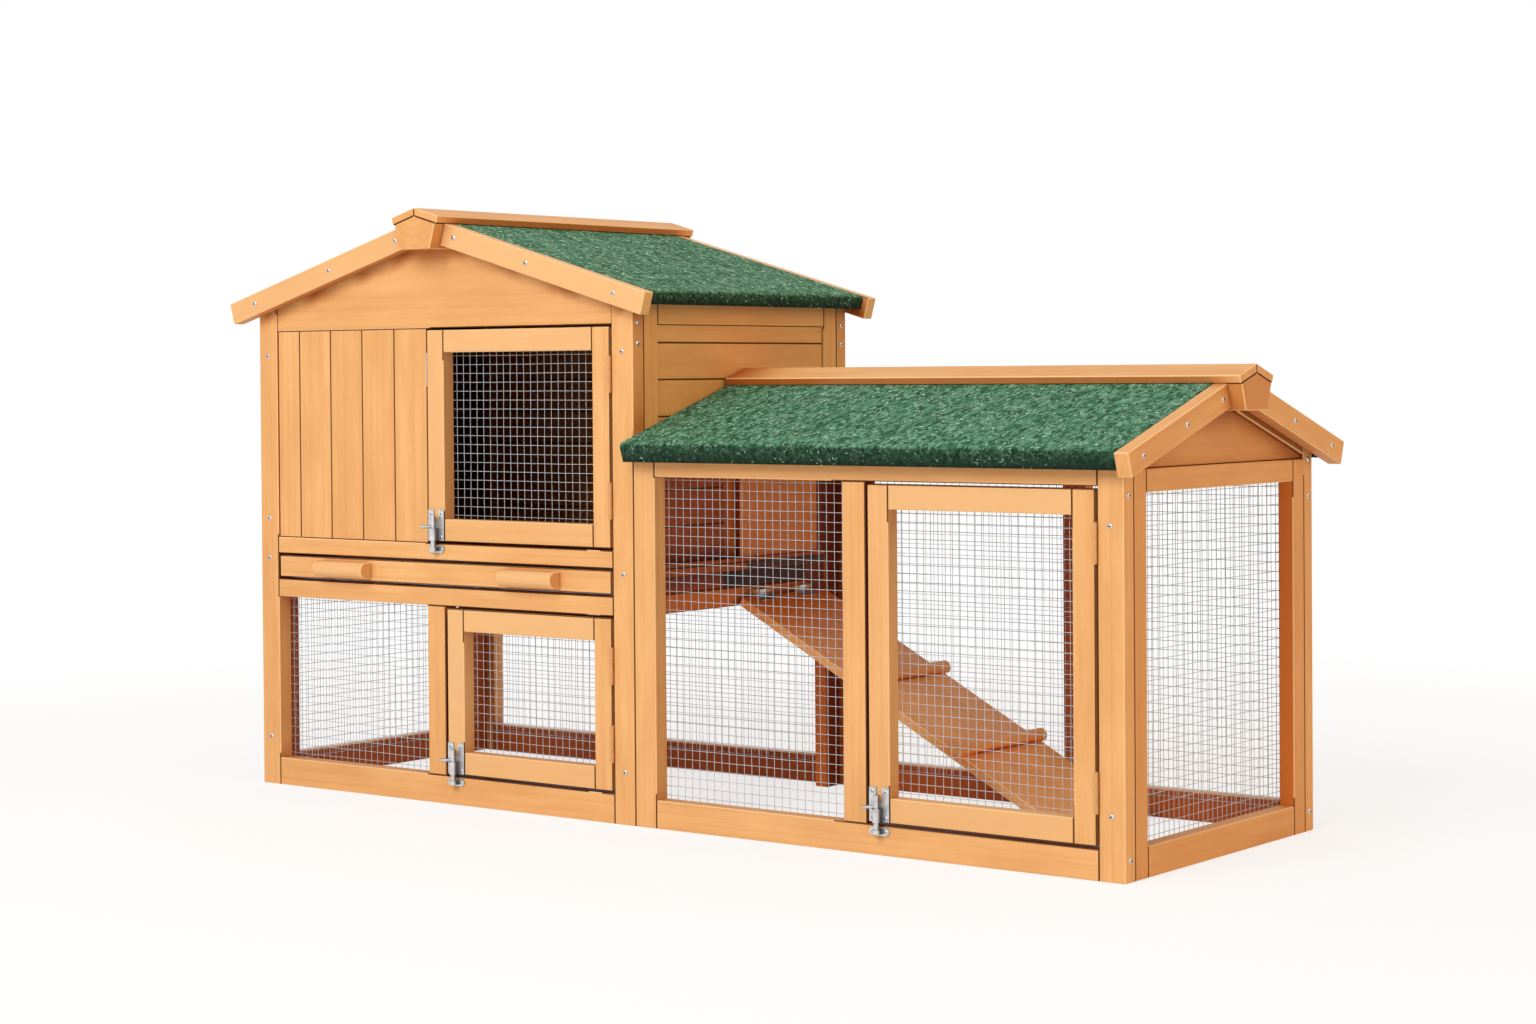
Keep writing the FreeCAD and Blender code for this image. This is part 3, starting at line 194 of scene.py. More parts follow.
def clouded_finish(name, roughness, metallic, scale, detail, reach, first, second):
    """A finish that wanders between two colours, with its tree, shader, cloud and colour."""
    finish, tree, shader = new_finish(name, roughness, metallic)
    cloud = noise(tree, own_place(tree), scale, detail)
    colour = mix(tree, between(tree, cloud, *reach), first, second)
    plug(tree, colour, shader.inputs["Base Color"])
    return finish, tree, shader, cloud, colour


# %% [markdown]
# ## Floor, backdrop and light
# A catalogue picture stands on white paper under broad soft lamps. The floor is white to the camera and a
# little greyer to the light that it throws back, and it fades to plain white away from the hutch, so that no
# horizon shows while the shadow near the wood stays. The light from the right is warm, as from a wooden wall.

# %% Floor, backdrop and light
FLOOR_SIZE = 30.0
FADE_START = 0.7
FADE_END = 2.2
LEAST_WHITE = 0.74
PAPER_WHITE = (1.0, 1.0, 1.0, 1.0)
PAPER_BOUNCE = (0.90, 0.89, 0.88, 1.0)

paper, tree, shader = new_finish("white_paper", 0.9)
shader.inputs["Specular IOR Level"].default_value = 0.0
seen = looked_at(tree)
plug(tree, mix(tree, seen, PAPER_BOUNCE, PAPER_WHITE), shader.inputs["Base Color"])
away = put(tree, "ShaderNodeVectorMath", {0: own_place(tree)}, operation="LENGTH").outputs["Value"]
far = between(tree, away, FADE_START, FADE_END, LEAST_WHITE, 1.0)
white = put(tree, "ShaderNodeEmission", {"Color": PAPER_WHITE, "Strength": 1.0})
blend = put(tree, "ShaderNodeMixShader", {
    "Fac": maths(tree, "MULTIPLY", far, seen), 1: shader.outputs["BSDF"], 2: white.outputs["Emission"]})
plug(tree, blend.outputs["Shader"], tree.nodes["Material Output"].inputs["Surface"])

floor_mesh = bpy.data.meshes.new("floor")
half = FLOOR_SIZE / 2
floor_corners = [(-half, -half, 0), (half, -half, 0), (half, half, 0), (-half, half, 0)]
floor_mesh.from_pydata(floor_corners, [], [(0, 1, 2, 3)])
floor_mesh.materials.append(paper)
floor = bpy.data.objects.new("floor", floor_mesh)
bpy.context.scene.collection.objects.link(floor)

AMBIENT = 0.60
WARM_SIDE = (1.0, 0.68, 0.34, 1.0)
WARM_FROM = (-0.1, 0.7)
world = bpy.data.worlds.new("studio")
bpy.context.scene.world = world
world.use_nodes = True
sky = world.node_tree
rightward = xyz(sky, put(sky, "ShaderNodeTexCoord").outputs["Generated"])["X"]
warmth = maths(sky, "MULTIPLY", between(sky, rightward, *WARM_FROM),
               between(sky, looked_at(sky), 0.0, 1.0, 1.0, 0.0))
background = sky.nodes["Background"]
plug(sky, mix(sky, warmth, PAPER_WHITE, WARM_SIDE), background.inputs["Color"])
plug(sky, between(sky, looked_at(sky), 0.0, 1.0, AMBIENT, 1.0), background.inputs["Strength"])


def soft_lamp(name, place, aim, size, power, colour=(1.0, 1.0, 1.0)):
    """A square soft box that faces a point."""
    data = bpy.data.lights.new(name, "AREA")
    data.size = size
    data.energy = power
    data.color = colour
    lamp = bpy.data.objects.new(name, data)
    lamp.location = place
    lamp.rotation_euler = (Vector(aim) - Vector(place)).to_track_quat("-Z", "Y").to_euler()
    bpy.context.scene.collection.objects.link(lamp)


HUTCH_MIDDLE = (0.0, 0.0, 0.35)
KEY_PLACE = (0.2, -4.1, 3.0)
KEY_SIZE = 2.4
KEY_POWER = 123.0
SIDE_PLACE = (20.0, 0.6, 9.4)
SIDE_SIZE = 11.0
SIDE_POWER = 965.0
SIDE_COLOUR = (1.0, 0.65, 0.31)
soft_lamp("key", KEY_PLACE, HUTCH_MIDDLE, KEY_SIZE, KEY_POWER)
soft_lamp("side", SIDE_PLACE, HUTCH_MIDDLE, SIDE_SIZE, SIDE_POWER, SIDE_COLOUR)
bpy.context.scene.view_settings.view_transform = "Standard"


# %% [markdown]
# ## Wood
# Every batten was sawn from its own plank, so no two show the same grain, and the grain runs the long way of
# each piece. A single pattern over the whole hutch would run across some of them. Instead each frame node is
# copied board by board. The node is a list of loose triangles, one solid after the other, so a board is whole
# as soon as every edge has met its partner. Its triangles are joined into real flat faces, and its longest
# edge tells which way the tree grew.

# %% Wood: the boards of a node
MICRON = 1e6
FLAT_ANGLE = math.radians(0.6)
RIM = 0.0015
FACING = 0.9
ROOF_FACING = 0.8
NEARLY_SQUARE = 0.1


def whole_boards(mesh):
    """The corner places of each board's triangles, one board after the other."""
    places = [tuple(round(c * MICRON) for c in vertex.co) for vertex in mesh.vertices]
    waiting = set()
    board = []
    for face in mesh.polygons:
        ring = [places[i] for i in face.vertices]
        waiting ^= {frozenset(pair) for pair in zip(ring, ring[1:] + ring[:1])}
        board.append(ring)
        if not waiting:
            yield board
            board = []


def board_shape(board):
    """One board with shared corners and flat faces."""
    shape = bmesh.new()
    corner = {place: shape.verts.new(Vector(place) / MICRON) for place in dict.fromkeys(sum(board, []))}
    for ring in board:
        shape.faces.new([corner[place] for place in ring])
    shape.normal_update()
    bmesh.ops.dissolve_limit(shape, angle_limit=FLAT_ANGLE, verts=shape.verts, edges=shape.edges)
    shape.normal_update()
    return shape


def board_axes(shape):
    """The long direction of a board, its width and its thickness, from its own straight edges."""
    edges = sorted(shape.edges, key=lambda edge: -edge.calc_length())
    sides = [(edge.verts[1].co - edge.verts[0].co).normalized() for edge in edges]
    along = sides[0] if max(sides[0], key=abs) > 0 else -sides[0]
    across = next(side for side in sides if abs(side.dot(along)) < NEARLY_SQUARE)
    across = (across - along * across.dot(along)).normalized()
    return along, across, along.cross(across)


def ease_ends(shape, along):
    """Slant the rim of a handle's two ends."""
    for end in [face for face in shape.faces if abs(face.normal.dot(along)) > FACING]:
        ring = bmesh.ops.inset_region(shape, faces=[end], thickness=RIM, use_even_offset=True)["faces"]
        for vertex in {vertex for face in ring for vertex in face.verts} - set(end.verts):
            vertex.co -= end.normal * RIM
    shape.normal_update()


def cut(shape, place, normal):
    everything = shape.verts[:] + shape.edges[:] + shape.faces[:]
    bmesh.ops.bisect_plane(shape, geom=everything, plane_co=place, plane_no=normal)


def cut_across(shape, axes, step):
    """Cut a board into short lengths and strips, so that shade can change along it."""
    for axis in axes:
        reach = [vertex.co.dot(axis) for vertex in shape.verts]
        count = int((max(reach) - min(reach)) / step)
        for n in range(1, count + 1):
            cut(shape, axis * (min(reach) + (max(reach) - min(reach)) * n / (count + 1)), axis)


def cut_at_roof(shape):
    """Cut a wall where the run's roof meets it, so that indoors ends there sharply."""
    slopes = {tuple(round(c, 2) for c in face.normal): face
              for face in nodes["run_roof_boards"].data.polygons if face.normal.z > ROOF_FACING}
    for face in slopes.values():
        cut(shape, face.center, face.normal)
    bmesh.ops.dissolve_degenerate(shape, dist=1 / MICRON, edges=shape.edges[:])


# %% [markdown]
# ## Shade, rooms and seams
# Shade is painted into the stain's colour: deep and red where light hardly reaches, in the rooms, under the
# eaves and in corners. For each corner of a face, rays go out over the half globe in front of it, and the
# share of them that soon meets wood or felt is kept as an attribute. A face that looks into one of the two
# roofed rooms has at least the room's own shade. Out of doors shade is weaker, but a jamb behind a narrow gap
# keeps all of it. Doors and drawer come out into the light, so their hidden sides stay nearly plain. An eased
# edge beside which another board rises is a seam and gets painted shade; any other is painted pale, partly as
# stain wear and partly as a highlight.

# %% Shade, rooms and seams: what stands in front of a face
# The shade levels below are painted into the wood's colour by the wood finish.
SHADE_RAYS = 40
SHADE_REACH = 0.45
SHADE_LIFT = 0.0012
FAR_LOSS = 0.5
CORNER_INSET = 0.12
COVERED = 0.88
COVERED_OUTSIDE = 0.60
ROOM_LIFT = 0.004
ROOM_SHADE = 0.62
LIGHTER_INDOORS = {"ramp_board": 0.31, "ramp_cleats": 0.31, "hatch": 0.41}
UPPER_ROOM_SHADE = 0.81
UPPER_FLOOR = 0.283
HATCH_FOOT = 0.3165
HATCH_FRONT = -0.030
HATCH_BACK = 0.140
# Painted shadow: wall and runner faces under the hatch are painted nearly black.
UNDER_HATCH_SHADOW = 0.80
BESIDE_HATCH_SHADE = 0.72
RAIL_FOOT = 0.250
RAIL_SHADE = 0.52
REVEAL_SHADE = 0.52
OPEN_AIR_SHARE = 0.62
OVER_ROOF_SHARE = 0.14
GAP_SHADE = 0.74
JAMB_PIECES = ("tower_front_frame", "tower_front_gable", "tower_front_planks", "run_front_frame")
LOOSE_SHADE = 0.18
LOOSE_BODIES = ("upper_door", "lower_door", "run_door", "tray")
SEAM_REACH = 0.0045
SEAM_LIFT = 0.0001
SEAM_LEAN = 0.3
UP = Vector((0, 0, 1))
SLOT_OF = {entry["node"]: entry["material_slot"] for entry in frame["record"]["subparts"]}


def tree_of(names):
    """The triangles of some nodes, ready for rays."""
    corners = []
    triangles = []
    for name in names:
        first = len(corners)
        corners += [vertex.co.copy() for vertex in nodes[name].data.vertices]
        triangles += [[first + i for i in face.vertices] for face in nodes[name].data.polygons]
    return BVHTree.FromPolygons(corners, triangles)


def inner(node, other, axis):
    """The two facing sides of a pair of panels."""
    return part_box(node)[1][axis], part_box(other)[0][axis]


neighbours = tree_of([name for name in nodes if SLOT_OF[name] in ("wood", "felt")])
rooms = [(inner("tower_left_frame", "tower_right_frame", 0),
          inner("tower_front_frame", "tower_back_frame", 1),
          tree_of(["tower_roof_boards", "tower_ridge_beam"])),
         (inner("tower_right_frame", "run_end_frame", 0),
          inner("run_front_frame", "run_back_frame", 1),
          tree_of(["run_roof_boards", "run_ridge_beam"]))]
GOLDEN_TURN = math.pi * (3 - math.sqrt(5))
dome = []
for n in range(SHADE_RAYS):
    out = math.sqrt((n + 0.5) / SHADE_RAYS)
    turn = n * GOLDEN_TURN
    dome.append(Vector((out * math.cos(turn), out * math.sin(turn), math.sqrt(1 - out * out))))


def enclosed(place, normal):
    """Share of the rays from a place that meet something near; a near thing counts for more."""
    turn = normal.to_track_quat("Z", "Y")
    start = place + normal * SHADE_LIFT
    met = 0.0
    for ray in dome:
        distance = neighbours.ray_cast(start, turn @ ray, SHADE_REACH)[3]
        if distance is not None:
            met += 1 - FAR_LOSS * distance / SHADE_REACH
    return met / SHADE_RAYS


def indoors(face):
    """Whether a face looks into a room, under that room's own roof."""
    place = face.calc_center_median() + face.normal * ROOM_LIFT
    return any(xs[0] < place.x < xs[1] and ys[0] < place.y < ys[1] and roof.ray_cast(place, UP)[0] is not None
               for xs, ys, roof in rooms)


def room_shade(name, face):
    """The least shade of a face: none out of doors, and indoors by the piece and its place."""
    centre = face.calc_center_median()
    if name == "run_end_frame" and face.normal.y < -FACING and centre.y > 0:
        return REVEAL_SHADE
    if name == "tower_right_frame" and abs(face.normal.y) > FACING and centre.z < UPPER_FLOOR:
        return REVEAL_SHADE
    if not indoors(face):
        return 0.0
    if centre.x < rooms[0][0][1] and centre.z > UPPER_FLOOR - ROOM_LIFT:
        return UPPER_ROOM_SHADE
    if name in ("tower_right_frame", "tower_right_boards", "hatch_runners") and face.normal.x > FACING:
        if centre.y > HATCH_BACK:
            return BESIDE_HATCH_SHADE
        if name == "tower_right_frame" and centre.z > RAIL_FOOT:
            return RAIL_SHADE
        # painted shadow under the hatch
        if centre.z < HATCH_FOOT and centre.y > HATCH_FRONT:
            return UNDER_HATCH_SHADOW
    return LIGHTER_INDOORS.get(name, ROOM_SHADE)


def beside_board(face, axes):
    """Whether another board rises right beside an eased edge."""
    centre = face.calc_center_median()
    for axis in axes:
        lean = face.normal.dot(axis)
        if abs(lean) > SEAM_LEAN:
            side = axis if lean > 0 else -axis
            if neighbours.ray_cast(centre + side * SEAM_LIFT, side, SEAM_REACH)[0] is not None:
                return True
    return False


print("rooms:", [[round(v, 3) for v in (*xs, *ys)] for xs, ys, roof in rooms])


# %% [markdown]
# ## Boards that know their place
# Each point now gets its place along, across and through its own board, with a chance offset as if every
# board came from another part of the tree. Each board also gets a tone, because planks of one batch take the
# stain more or less deeply: a little by chance, and by piece where the photograph shows it. On the run's end
# the deeper tone is partly stain and partly painted shade of that side. Attributes carry all that into the
# finish.

# %% Boards that know their place
SEED = 11
chance = random.Random(SEED)
NARROW_FACE = 0.0022
SLANT = 0.95
RIM_LEAN = 0.2
GRAIN_SHIFT = (8.0, 0.035, 0.05)
SHARP_ANGLE = math.radians(30)
SHADE_STEP = 0.045
FINE_STEP = {"tray_front": 0.012, "tower_front_frame": 0.022, "tower_front_gable": 0.025,
             "run_end_gable": 0.025}
PLAIN_TONE = 0.2
TONE_SPREAD = 0.3
# On the run's end (run_end_gable, run_end_frame) the deeper tone is partly stain and partly painted shade of
# that side.
TONE_AND_END_SHADE = {"upper_door_frame": -0.45, "lower_door_frame": -0.75, "run_door_frame": -0.55,
        "tower_barge_boards": -0.8, "tower_front_frame": 0.3, "tray_handles": -0.6, "run_front_frame": 0.1,
        "run_end_gable": 2.0, "run_end_frame": 1.3, "tower_ridge_cap": 0.4, "tower_ridge_beam": 0.8,
        "run_ridge_beam": 2.8}
RIGHT_STILE_TONE = 0.75
STILE_REACH = 0.06
ROUND_PIECES = ("tray_handles", "ramp_cleats")


def filled(mesh, name, domain, values, kind="FLOAT"):
    """Add an attribute to a mesh and fill it."""
    layer = mesh.attributes.new(name, kind, domain)
    layer.data.foreach_set("value" if kind == "FLOAT" else "vector", values)


def shown(name, mesh, body):
    """A visible piece that rides on a body."""
    piece = bpy.data.objects.new(name, mesh)
    bpy.context.scene.collection.objects.link(piece)
    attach(piece, body)
    return piece


def tone_of(name, shape):
    """How deep a board's tone is: how deeply it took the stain, and on the run's end also painted shade of
    that side; the doors' right stiles took the stain deeper.
    """
    tone = TONE_AND_END_SHADE.get(name, PLAIN_TONE) + chance.uniform(-TONE_SPREAD, TONE_SPREAD)
    leftmost = min(vertex.co.x for vertex in shape.verts)
    if name.endswith("door_frame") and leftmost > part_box(name)[1].x - STILE_REACH:
        tone += RIGHT_STILE_TONE
    return tone


def face_shades(face, known, least, covered):
    """Shade at each corner of a face; a corner that another board covers takes the others' mean."""
    centre = face.calc_center_median()
    flat = tuple(round(c, 2) for c in face.normal)
    for vertex in face.verts:
        if (vertex.index, flat) not in known:
            known[vertex.index, flat] = enclosed(vertex.co.lerp(centre, CORNER_INSET), face.normal)
    shades = [known[vertex.index, flat] for vertex in face.verts]
    open_shades = [value for value in shades if value < covered]
    mean = sum(open_shades) / len(open_shades) if open_shades else enclosed(centre, face.normal)
    return [max(least, value if value < covered else mean) for value in shades]


def wooden(name):
    """Copy a frame node as boards that know their grain, tone, shade, seams and eased edges."""
    points, faces, grain, tone, shade, eased, seam, roofed = [], [], [], [], [], [], [], []
    is_round = name in ROUND_PIECES
    is_loose = nodes[name]["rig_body"] in LOOSE_BODIES
    most = LOOSE_SHADE if is_loose else 1.0
    share = OVER_ROOF_SHARE if name.startswith("tower_right") else OPEN_AIR_SHARE
    for board in whole_boards(nodes[name].data):
        shape = board_shape(board)
        axes = board_axes(shape)
        if name == "tray_handles":
            ease_ends(shape, axes[0])
        cut_across(shape, axes, FINE_STEP.get(name, SHADE_STEP))
        if name.startswith("tower_right"):
            cut_at_roof(shape)
        shift = [chance.uniform(-reach, reach) for reach in GRAIN_SHIFT]
        board_tone = tone_of(name, shape)
        first = len(points)
        shape.verts.index_update()
        shape.normal_update()
        middle = sum((vertex.co for vertex in shape.verts), Vector()) / len(shape.verts)
        for vertex in shape.verts:
            points.append(vertex.co.copy())
            grain += [(vertex.co - middle).dot(axis) + offset for axis, offset in zip(axes, shift)]
            tone.append(board_tone)
        known = {}
        for face in shape.faces:
            faces.append([first + vertex.index for vertex in face.verts])
            is_slanted = max(abs(face.normal.dot(axis)) for axis in axes) < SLANT
            width = face.calc_area() / max(edge.calc_length() for edge in face.edges)
            is_rim = is_round and abs(face.normal.dot(axes[0])) > RIM_LEAN
            is_eased = is_slanted and width < NARROW_FACE and (is_rim or not is_round)
            eased.append(float(is_eased))
            seam.append(float(is_eased and not is_rim and beside_board(face, axes)))
            least = 0.0 if is_loose else room_shade(name, face)
            roofed.append(float(least > 0))
            is_jamb = name in JAMB_PIECES and abs(face.normal.y) < FACING
            if is_eased and is_rim:
                shades = [0.0] * len(face.verts)
            else:
                shades = face_shades(face, known, least, COVERED if least or is_jamb else COVERED_OUTSIDE)
            if not least:
                shades = [value if is_jamb and value > GAP_SHADE else share * value for value in shades]
                shades = [min(most, value) for value in shades]
            shade += shades
        shape.free()
    mesh = bpy.data.meshes.new(name + "_boards")
    mesh.from_pydata(points, [], faces)
    filled(mesh, "grain", "POINT", grain, "FLOAT_VECTOR")
    filled(mesh, "tone", "POINT", tone)
    filled(mesh, "shade", "CORNER", shade)
    filled(mesh, "eased", "FACE", eased)
    filled(mesh, "seam", "FACE", seam)
    filled(mesh, "roofed", "FACE", roofed)
    mesh.shade_smooth()
    mesh.set_sharp_from_angle(angle=SHARP_ANGLE)
    piece = shown(name + "_boards", mesh, nodes[name]["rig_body"])
    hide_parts(name)
    return piece


wood_pieces = {name: wooden(name) for name in sorted(nodes) if SLOT_OF[name] == "wood"}
print("wood:", len(wood_pieces), "pieces,", sum(len(p.data.polygons) for p in wood_pieces.values()), "faces")


# %% [markdown]
# ## Wood finish
# Honey stain on softwood is a warm orange with faint bands of summer and winter growth and fine fibres along
# the board. Growth rings are circles round the heart of the tree, so a ring pattern round the board's long
# axis gives straight bands on one face and wide flames on the next, as sawn timber does. A board's tone then
# makes it creamier or deeper. Painted shade darkens it step by step: to brown out of doors, to red in a room,
# to dark red and nearly black in its corners. Eased edges are painted pale, partly as stain wear and partly
# as a highlight, and painted shade darkens the seams.

# %% Wood finish
HONEY = (0.745, 0.390, 0.148, 1.0)
HONEY_PALE = (0.85, 0.480, 0.20, 1.0)
HONEY_DEEP = (0.61, 0.255, 0.068, 1.0)
HONEY_CREAM = (0.80, 0.475, 0.215, 1.0)
# Painted shade colours: brown shadow out of doors, red shade in a room, deep red and near-black shade in
# corners.
HONEY_SHADOW = (0.46, 0.118, 0.016, 1.0)
HONEY_PAINTED_ROOM_SHADE = (0.84, 0.245, 0.040, 1.0)
HONEY_PAINTED_DEEP_SHADE = (0.30, 0.050, 0.009, 1.0)
HONEY_PAINTED_BLACK_SHADE = (0.035, 0.009, 0.005, 1.0)
# Painted shade in the seams' V-grooves.
SEAM_PAINTED_SHADE = (0.16, 0.055, 0.014, 1.0)
# Pale eased edges: partly stain wear, partly painted highlight.
EDGE_WEAR_AND_HIGHLIGHT = (0.96, 0.66, 0.36, 1.0)
RING_SCALE = 30.0
RING_STRETCH = (0.07, 1.0, 1.0)
FIBRE_STRETCH = (1.6, 42.0, 42.0)
CLOUD_STRETCH = (2.2, 9.0, 9.0)
SHADOW_RANGE = (0.12, 0.36)
ROOM_SHADE_RANGE = (0.28, 0.48)
DEEP_SHADE_RANGE = (0.48, 0.66)
BLACK_SHADE_RANGE = (0.66, 0.82)


def reading(tree, attribute, output="Fac"):
    return put(tree, "ShaderNodeAttribute", attribute_name=attribute).outputs[output]


honey, tree, shader = new_finish("honey_wood", 0.52)
shader.inputs["Specular IOR Level"].default_value = 0.22
board_place = reading(tree, "grain", "Vector")
tone = reading(tree, "tone")
shade = reading(tree, "shade")
rings = put(tree, "ShaderNodeTexWave", {
    "Vector": scaled(tree, board_place, RING_STRETCH), "Scale": RING_SCALE, "Distortion": 3.0, "Detail": 2.0,
    "Detail Scale": 0.6}, wave_type="RINGS", rings_direction="X", wave_profile="SAW")
clouds = noise(tree, scaled(tree, board_place, CLOUD_STRETCH), 3.0, 3.0)
fibres = noise(tree, scaled(tree, board_place, FIBRE_STRETCH), 6.0, 5.0, 0.65)

colour = mix(tree, between(tree, clouds, 0.35, 0.7), HONEY, HONEY_PALE)
colour = mix(tree, between(tree, rings.outputs["Fac"], 0.55, 1.0, 0.0, 0.22), colour, HONEY_DEEP)
colour = mix(tree, between(tree, fibres, 0.48, 0.75, 0.0, 0.26), colour, HONEY_DEEP)
colour = mix(tree, between(tree, tone, 0.0, 3.0, 0.0, 0.90), colour, HONEY_DEEP)
colour = mix(tree, between(tree, tone, -1.0, 0.0, 1.0, 0.0), colour, HONEY_CREAM)
# Painted shade, step by step, from the shade attribute.
painted_outdoor_shade = mix(tree, between(tree, shade, *SHADOW_RANGE), colour, HONEY_SHADOW)
painted_room_shade = mix(tree, between(tree, shade, *ROOM_SHADE_RANGE), colour, HONEY_PAINTED_ROOM_SHADE)
colour = mix(tree, reading(tree, "roofed"), painted_outdoor_shade, painted_room_shade)
colour = mix(tree, between(tree, shade, *DEEP_SHADE_RANGE), colour, HONEY_PAINTED_DEEP_SHADE)
colour = mix(tree, between(tree, shade, *BLACK_SHADE_RANGE), colour, HONEY_PAINTED_BLACK_SHADE)
# Eased edges are painted pale, partly as stain wear and partly as a painted highlight that fades where the
# painted shade deepens.
wear_and_highlight_share = maths(tree, "MULTIPLY", reading(tree, "eased"), between(tree, shade, 0.25, 0.6, 0.65, 0.0))
colour = mix(tree, wear_and_highlight_share, colour, EDGE_WEAR_AND_HIGHLIGHT)
# painted shade in the seams
colour = mix(tree, reading(tree, "seam"), colour, SEAM_PAINTED_SHADE)
plug(tree, colour, shader.inputs["Base Color"])
plug(tree, between(tree, fibres, 0.3, 0.8, 0.46, 0.62), shader.inputs["Roughness"])
bump(tree, fibres, shader, 0.25, 0.0004)
for piece in wood_pieces.values():
    piece.data.materials.append(honey)


# %% [markdown]
# ## Metal finishes
# The net, hinges and bolts are steel with a bright zinc coat, which is cloudy rather than mirror-like. The
# drawer's pan is galvanised sheet, whose zinc froze in large flat crystals. The door hinges are bronzed to go
# with the wood, so they hardly show. On the bolts, painted shade darkens every face the more it turns away
# from the front and the back, so the sides and the ends of the barrels are nearly black.

# %% Metal finishes
ZINC = (0.72, 0.73, 0.74, 1.0)
ZINC_DULL = (0.50, 0.51, 0.53, 1.0)
# Near-black painted shade for the sides of the bolts.
ZINC_PAINTED_SHADE = (0.07, 0.07, 0.075, 1.0)
ZINC_CLOUD = (160.0, 4.0, (0.35, 0.7), ZINC, ZINC_DULL)
WIRE_ZINC = (0.58, 0.63, 0.69, 1.0)
WIRE_DULL = (0.43, 0.47, 0.53, 1.0)
BRONZE = (0.62, 0.31, 0.115, 1.0)
BRONZE_WORN = (0.74, 0.40, 0.16, 1.0)
CRYSTAL_SCALE = 90.0

zinc, tree, shader, cloud, colour = clouded_finish("zinc_plate", 0.34, 1.0, *ZINC_CLOUD)
plug(tree, between(tree, cloud, 0.3, 0.7, 0.28, 0.46), shader.inputs["Roughness"])
bump(tree, cloud, shader, 0.15, 0.0002)

latch_zinc, tree, shader, cloud, colour = clouded_finish("latch_zinc", 0.36, 0.8, *ZINC_CLOUD)
# Painted shade: faces of the bolts that do not look to the front or back turn nearly black.
frontness = maths(tree, "ABSOLUTE", xyz(tree, put(tree, "ShaderNodeTexCoord").outputs["Normal"])["Y"])
painted_side_shade = between(tree, frontness, 0.10, 0.75, 0.95, 0.0)
plug(tree, mix(tree, painted_side_shade, colour, ZINC_PAINTED_SHADE), shader.inputs["Base Color"])

wire_zinc = clouded_finish("zinc_wire", 0.42, 0.25, 220.0, 3.0, (0.4, 0.7), WIRE_ZINC, WIRE_DULL)[0]
bronzed = clouded_finish("bronzed_hinge", 0.45, 0.2, 260.0, 4.0, (0.35, 0.75), BRONZE, BRONZE_WORN)[0]

galvanised, tree, shader = new_finish("galvanised_sheet", 0.4, metallic=1.0)
crystals = put(tree, "ShaderNodeTexVoronoi", {"Vector": own_place(tree), "Scale": CRYSTAL_SCALE})
plug(tree, mix(tree, crystals.outputs["Color"], ZINC, ZINC_DULL), shader.inputs["Base Color"])
plug(tree, between(tree, crystals.outputs["Color"], 0.0, 1.0, 0.3, 0.5), shader.inputs["Roughness"])

for name, node in nodes.items():
    if SLOT_OF[name] in ("steel", "sheet"):
        node.data.materials.clear()
        is_hinge = name.endswith("door_hinges") or name == "hinge_fixed_leaves"
        coat = bronzed if is_hinge else latch_zinc if "bolt" in name else zinc
        node.data.materials.append(galvanised if SLOT_OF[name] == "sheet" else coat)


# %% [markdown]
# ## Wire nets
# The frame keeps each net as a coarse sheet. The real one is welded mesh: straight wires about 12 mm apart,
# the level ones lying on the upright ones. Geometry Nodes suit that well, because two rows of the same wire
# make the whole net from its width and height. A little noise bends the wires where they were stretched by
# hand; it moves both rows alike, so the welds hold.

# %% Wire nets: the tree
def group(name, sizes):
    """A Geometry Nodes tree with named number inputs, a material input and its two end nodes."""
    made = bpy.data.node_groups.new(name, "GeometryNodeTree")
    made.interface.new_socket("Geometry", in_out="INPUT", socket_type="NodeSocketGeometry")
    for size in sizes:
        made.interface.new_socket(size, in_out="INPUT", socket_type="NodeSocketFloat")
    made.interface.new_socket("Finish", in_out="INPUT", socket_type="NodeSocketMaterial")
    made.interface.new_socket("Geometry", in_out="OUTPUT", socket_type="NodeSocketGeometry")
    return made, made.nodes.new("NodeGroupInput"), made.nodes.new("NodeGroupOutput")


def vector(tree, x=0.0, y=0.0, z=0.0):
    return put(tree, "ShaderNodeCombineXYZ", {"X": x, "Y": y, "Z": z}).outputs["Vector"]


def coated(tree, geometry, finish):
    """Realize the instances and set their material."""
    solid = put(tree, "GeometryNodeRealizeInstances", {"Geometry": geometry}).outputs["Geometry"]
    coat = put(tree, "GeometryNodeSetMaterial", {"Geometry": solid, "Material": finish})
    return coat.outputs["Geometry"]


WIRE_SIDES = 5
WIRE_POINTS = 9
WELD_DEPTH = {"z": 1.0, "x": -0.8}
BEND_SCALE = 14.0

